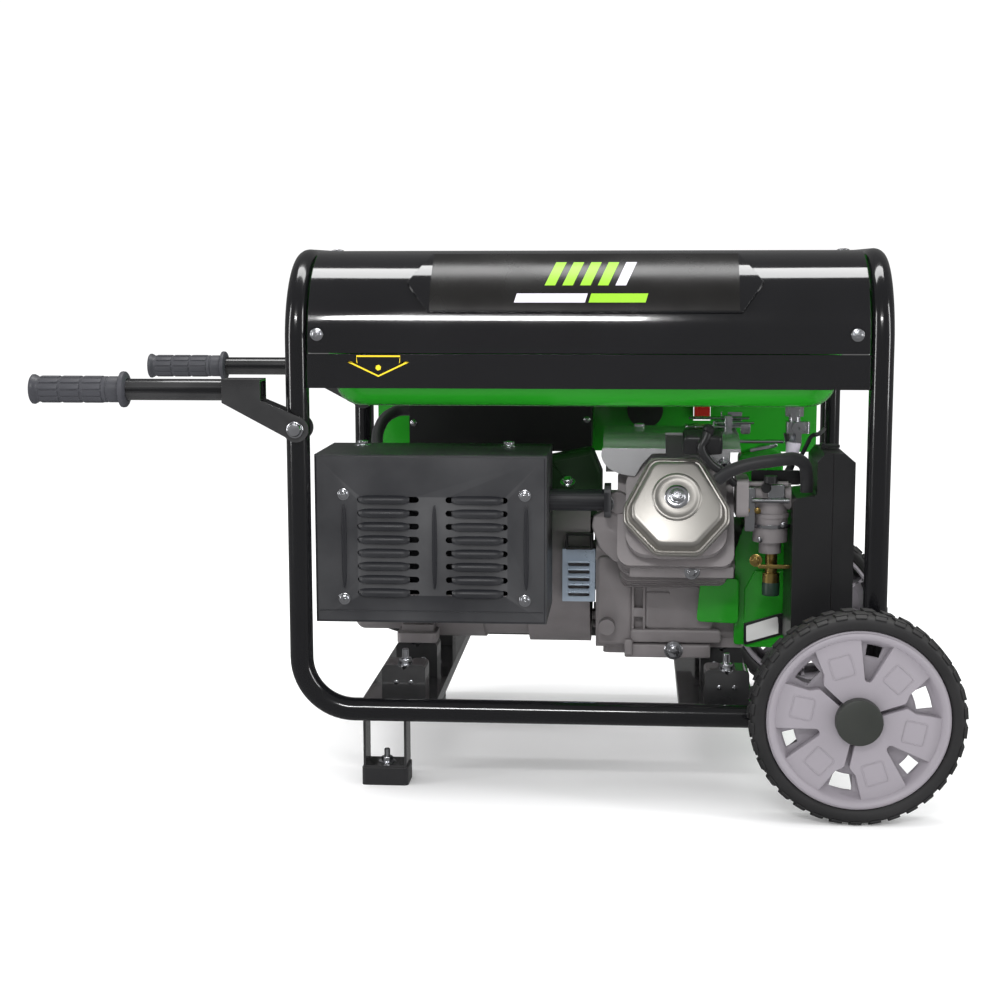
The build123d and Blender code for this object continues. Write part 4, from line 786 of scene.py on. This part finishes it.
casting.prism(box_outline(84, 66, 7), 15, back(222, -78, 204), bevel=3.5)
for z in (229, 217):
    casting.prism(box_outline(28, 2.6, 1), 3, back(196, -92, z), bevel=0.9)
casting.prism(box_outline(16, 12, 3), 8, back(172, -86, 192), bevel=1.5)
casting.prism(box_outline(112, 17, 5), 21, back(218, -76, 163), bevel=3)
casting.prism(box_outline(106, 17, 3), 27, back(208, -72, 144.5), bevel=2.5)
casting.prism(box_outline(10, 20, 3), 32, back(160, -72, 150), bevel=2)
for k in range(7):
    casting.prism(
        box_outline(134, 2.6, 1.2), 8,
        place((214.5, -112 + 3.2 * k, 289 + 7.2 * k), (0, -0.9, 0.42), (1, 0, 0)), bevel=0.8
    )
casting.lathe([(13, 0), (14, 2), (14, 9), (12.6, 11), (0.01, 11)], back(146, -152, 338), 32)
casting.done(smooth=42)
gasket = Kit("rocker_gasket", "frame", "dark_hole")
gasket.rings([rocker_ring(0.985, 18), rocker_ring(0.985, 20.6)], SEAT)
gasket.done()
cover = Kit("rocker_skin", "frame", "rocker_zinc")
profile = (
    (0.99, 20.6), (1.0, 21.2), (1.0, 23.6), (0.988, 25.3), (0.965, 26), (0.945, 25.3), (0.934, 23.8),
    (0.90, 23.6),
    (0.885, 24.8), (0.872, 29), (0.862, 34), (0.846, 37), (0.815, 38.5), (0.77, 39),
)
cover.rings([rocker_ring(scale, z) for scale, z in profile], SEAT)
cover.lathe(
    [
        (29, 38.7), (28.2, 39.9), (26.4, 40.5), (24.4, 40.1), (21.5, 39.2), (17.5, 39.05), (15, 39.5),
        (0.01, 39.5)
    ],
    moved(SEAT, 0, 7), 64,
)
cover.done(replaces=["rocker_cover"], smooth=50)
fixings = Kit("engine_fixings", "frame", "bright_zinc")
fixings.lathe(
    [(14.2, 39.4), (14.2, 40.8), (13, 41.6), (9.4, 41.8), (9, 43.6), (8.6, 43.9), (7, 44)], moved(SEAT, 0, 7),
    40
)
fixings.prism(hexagon(7.6), 6.5, moved(SEAT, 0, 7, 43.6), bevel=1)
fixings.lathe([(4.6, 50), (4.2, 50.9), (2.2, 51), (2, 50.2)], moved(SEAT, 0, 7), 24)
fixings.bolt((234.5, -174, 258), (0, -1, 0), size=6.4, head=5)
fixings.bolt((215.5, -99, 146), (0, -1, 0), size=8, head=6, washer=2)
fixings.bolt((120.5, -96, 223), (-1, 0, 0), size=5.5, head=4)
fixings.bolt((133, -163, 337), (-0.3, -1, 0), size=6.4, head=5)
fixings.bolt((171, -58, 418.6), (0, 0, 1), size=6.4, head=4.5)
fixings.bolt((271, -168.2, 386), (0, -1, 0), size=5.4, head=3.6)
fixings.bolt((83, -76, 352), (0, -0.6, 1), size=6.4, head=5)
for side in (-1, 1):
    fixings.bolt((-130, side * 190, 24), (0, 0, 1), size=7.2, head=5.5)
    fixings.lathe([(3.6, 0), (3.6, 9), (2.8, 10)], place((-130, side * 190, 30), (0, 0, 1)), 20)
for x in (-107, 276):
    for y in (-187, -61, 125):
        fixings.bolt((x, y, 143), (0, 0, 1), size=8, head=6, washer=2)
        fixings.lathe([(4, 0), (4, 14), (3.2, 15)], place((x, y, 148), (0, 0, 1)), 20)
        for step in (-9, 9):
            fixings.lathe([(2.9, 0), (2.9, 0.8), (2.2, 1.2)], back(x + step, y - 19.9, 126), 20)
fixings.done(replaces=["engine_bolts"])

sheet = Kit("fan_skirt", "frame", "green_paint")
sheet.prism(
    rounded([(243, 184), (294, 182), (294, 238), (259, 238), (247, 231)], 6, 4), 2, back(0, -104, 0),
    bevel=0.8
)
sheet.prism(
    rounded([(290, 152), (357, 152), (357, 302), (300, 302), (290, 270)], 5, 4), 2, back(0, -86, 0), bevel=0.8
)
sheet.prism(
    rounded([(302, 150), (358, 150), (358, 246), (314, 246), (302, 222)], 5, 4), 3, back(0, -90, 0), bevel=1.4
)
sheet.prism(
    rounded([(297, 300), (352, 300), (352, 384), (332, 394), (297, 382)], 8, 4), 40, back(0, 10, 0), bevel=3
)
sheet.prism(rounded([(296, 330), (344, 330), (326, 378), (296, 384)], 6, 4), 2, back(0, -32, 0), bevel=1)
sheet.done()
# cowl block coloured with painted shade: a darkened green standing in for the green sheets in shadow here
cowl = Kit("bell_cowl", "frame", "painted_shade_green")
cowl.prism(
    rounded([(53, 300), (125, 300), (125, 358), (112, 389), (53, 377)], 8, 4), 44, back(0, 14, 0), bevel=7
)
cowl.done()
vent = Kit("vent_frame", "frame", "plastic_black")
vent.prism(
    rounded([(302, 152.5), (352, 167.5), (349.5, 194.5), (301.6, 180)], 3, 3), 3, back(0, -92.6, 0), bevel=0.8
)
vent.prism(box_outline(8, 21, 2), 6, back(348, -94, 179), bevel=1)
vent.done()
window = Kit("vent_plate", "frame", "white_plastic")
window.prism(
    rounded([(305, 156.8), (345, 169), (343, 190), (304.6, 177.4)], 2, 3), 0.8, back(0, -95.4, 0), bevel=0.3
)
window.done()

# ---------------------------------------------------------------- governor linkage
links = Kit("governor_links", "frame", "bright_zinc")
links.prism(box_outline(24, 14, 2), 1.8, place((251, -72, 421.5), (0, 0, 1)), bevel=0.4)
links.prism(box_outline(1.8, 14, 0.6), 8, place((262, -72, 421), (0, 0, 1)), bevel=0.3)
links.prism(box_outline(9, 25, 2), 3, back(280, -78, 424), bevel=0.8)
links.prism(box_outline(12, 16, 3), 2, back(301, -74, 421), bevel=0.6)
links.wire([(262, -76, 427), (286, -76, 427), (311, -76, 427)], 1.7)
links.wire([(268, -84, 408), (300, -84, 405), (347, -84, 405)], 2.6)
links.lathe([(3.2, 0), (3.2, 6), (2.4, 7)], place((307, -76, 427), (1, 0, 0)), 20)
coil = [(264 + 0.55 * k, -76 + 3.4 * cos(k * 1.05), 427 + 3.4 * sin(k * 1.05)) for k in range(30)]
links.wire(coil, 0.8, 6)
links.prism(box_outline(34, 5, 2.4), 2, place((322, -92, 398), (0.1, -1, 0.2), (1, 0, 0.22)), bevel=0.5)
links.done()

# ---------------------------------------------------------------- carburettor trim
silver = Kit("carburettor_trim", "frame", "zinc")
silver.wire([(302, -197, 347), (322, -197, 347), (345, -197, 347)], 3.1, 14)
silver.lathe([(21.5, 0), (23.8, 0.6), (23.8, 4.4), (21.5, 5)], place((325.5, -172, 313), (0, 0, 1)), 48)
silver.prism(box_outline(12, 52, 3), 5, back(300, -190, 336), bevel=1)
silver.prism(box_outline(20, 16, 3), 6, back(330, -191, 358), bevel=1.4)
for x, z in ((312, 300), (339, 318), (338, 350)):
    silver.dome_screw((x, -193, z), (0, -1, 0), 3.2, 1.8)
silver.done()
gold = Kit("carburettor_brass", "frame", "brass")
gold.bolt((308, -193.5, 276), (-0.25, -1, 0), size=5.2, head=4)
gold.prism(box_outline(37, 4.6, 1.6), 2, back(329, -194, 269), bevel=0.5)
for x in (296, 309):
    gold.dome_screw((x, -195.5, 335), (0, -1, 0), 3.6, 2.4)
gold.done()
knobs = Kit("carburettor_knobs", "frame", "plastic_black")
knobs.lathe([(5.8, 0), (5.8, 6), (4.8, 7), (0.01, 7)], back(318, -193, 362), 28)
knobs.prism(box_outline(58, 17, 4), 4, back(331, -175, 372), bevel=1)
knobs.wire([(362, -128, 388), (369, -128, 402), (376, -128, 416), (385, -120, 418), (398, -60, 418)], 2.6)
knobs.prism(box_outline(46, 30, 7), 22, place((244, -186, 405), (0, -0.3, 1), (1, 0, 0)), bevel=5)
knobs.wire(
    [
        (250, -200, 430), (247, -203, 420), (242, -206, 408), (252, -208, 392), (268, -204, 380),
        (282, -196, 366)
    ],
    lambda t: 6.4 - 2.2 * t, 14
)
knobs.lathe(
    [(0.01, 8), (4, 7.4), (6.4, 5), (7.2, 0), (6.6, -3), (0.01, -3)], place((250, -200, 428), (0.2, -0.2, 1)),
    28
)
knobs.done(replaces=["plug_lead"])
cup = Kit("solenoid_cap", "frame", "cap_green")
cup.lathe([(9.6, 0), (10.4, 1), (10.4, 15), (9.4, 17), (9.2, 17.4)], place((327.5, -172, 231), (0, 0, 1)), 40)
cup.done()
filter_cup = Kit("filter_cup", "frame", "pale")
filter_cup.lathe([(5.5, 0), (7.4, 3), (8.6, 18), (8.2, 20)], place((352, -134, 389), (0.12, 0, 1)), 32)
filter_cup.done()

# ---------------------------------------------------------------- louvred air plate
vanes = Kit("air_plate_vanes", "frame", "louvre_zinc")
for k in range(5):
    vanes.prism(box_outline(28, 2.4, 1.1), 2.2, back(97.5, -94.2, 216.9 + 9.5 * k), bevel=1.1)
vanes.done()
mouth = Kit("air_plate_mouth", "frame", "plastic_black")
mouth.ring_plate(box_outline(34, 20, 2), box_outline(28, 15, 1.5), 14, back(98, -80, 280), bevel=0.5)
mouth.done()

# ---------------------------------------------------------------- rail label
arrow = [(-126, 493), (-91, 509.5), (-101, 509.5), (-101, 517.5), (-151, 517.5), (-151, 509.5), (-161, 509.5)]
label = Kit("rail_label", "frame", "yellow")
label.ring_plate(arrow, inset(arrow, 1.9), 0.3, back(0, -256.5, 0), bevel=0.05)
label.prism(hexagon(3.4, 0.3), 0.3, back(-126, -256.5, 503.5))
label.done()

# ---------------------------------------------------------------- control box screws
dark = Kit("control_box_screws", "frame", "zinc")
for x, z in ((-139, 404), (100, 410)):
    dark.dome_screw((x, 155.8, z), (0, -1, 0), 4.6, 2.4)
dark.done()

# ---------------------------------------------------------------- panel side
PANEL_FACE, PANEL_MID = 238, 419.5


def panel(x, z, y=PANEL_FACE):
    """Placing that faces the panel side, local axes along -X and +Z."""
    return place((x, y, z), (0, 1, 0), (-1, 0, 0))


dial = Kit("meter_dial", "frame", "white_plastic")
dial.lathe([(26, 0), (26, 0.5), (25, 0.7), (0.01, 0.7)], panel(180, PANEL_MID, 244.6), 48)
dial.done()
marks = Kit("meter_marks", "frame", "dark_hole")
for k in range(11):
    turn = 30 + 12 * k
    marks.prism(
        box_outline(0.9, 4.5, 0.3), 0.4,
        moved(panel(180, PANEL_MID - 6, 245.2), *polar(24, turn), 0, turn - 90)
    )
marks.prism(
    box_outline(1.1, 24, 0.4), 0.6, moved(panel(180, PANEL_MID - 6, 245.3), *polar(10, 128), 0, 38), bevel=0.2
)
marks.lathe([(4, 0), (3.4, 1.4), (0.01, 1.5)], panel(180, PANEL_MID - 6, 245.3), 24)
marks.done()
trim = Kit("panel_trim", "frame", "zinc")
for x in (-190, 410):
    for z in (370, 469):
        trim.dome_screw((x, PANEL_FACE, z), (0, 1, 0), 5.4, 2.6)
trim.lathe([(15, 0), (15, 1.2), (13.6, 2), (10, 2)], panel(86, PANEL_MID), 40, caps=False)
trim.ring_plate(box_outline(30, 40, 3), box_outline(25, 35, 1.5), 2.2, panel(260, PANEL_MID), bevel=0.6)
trim.done()
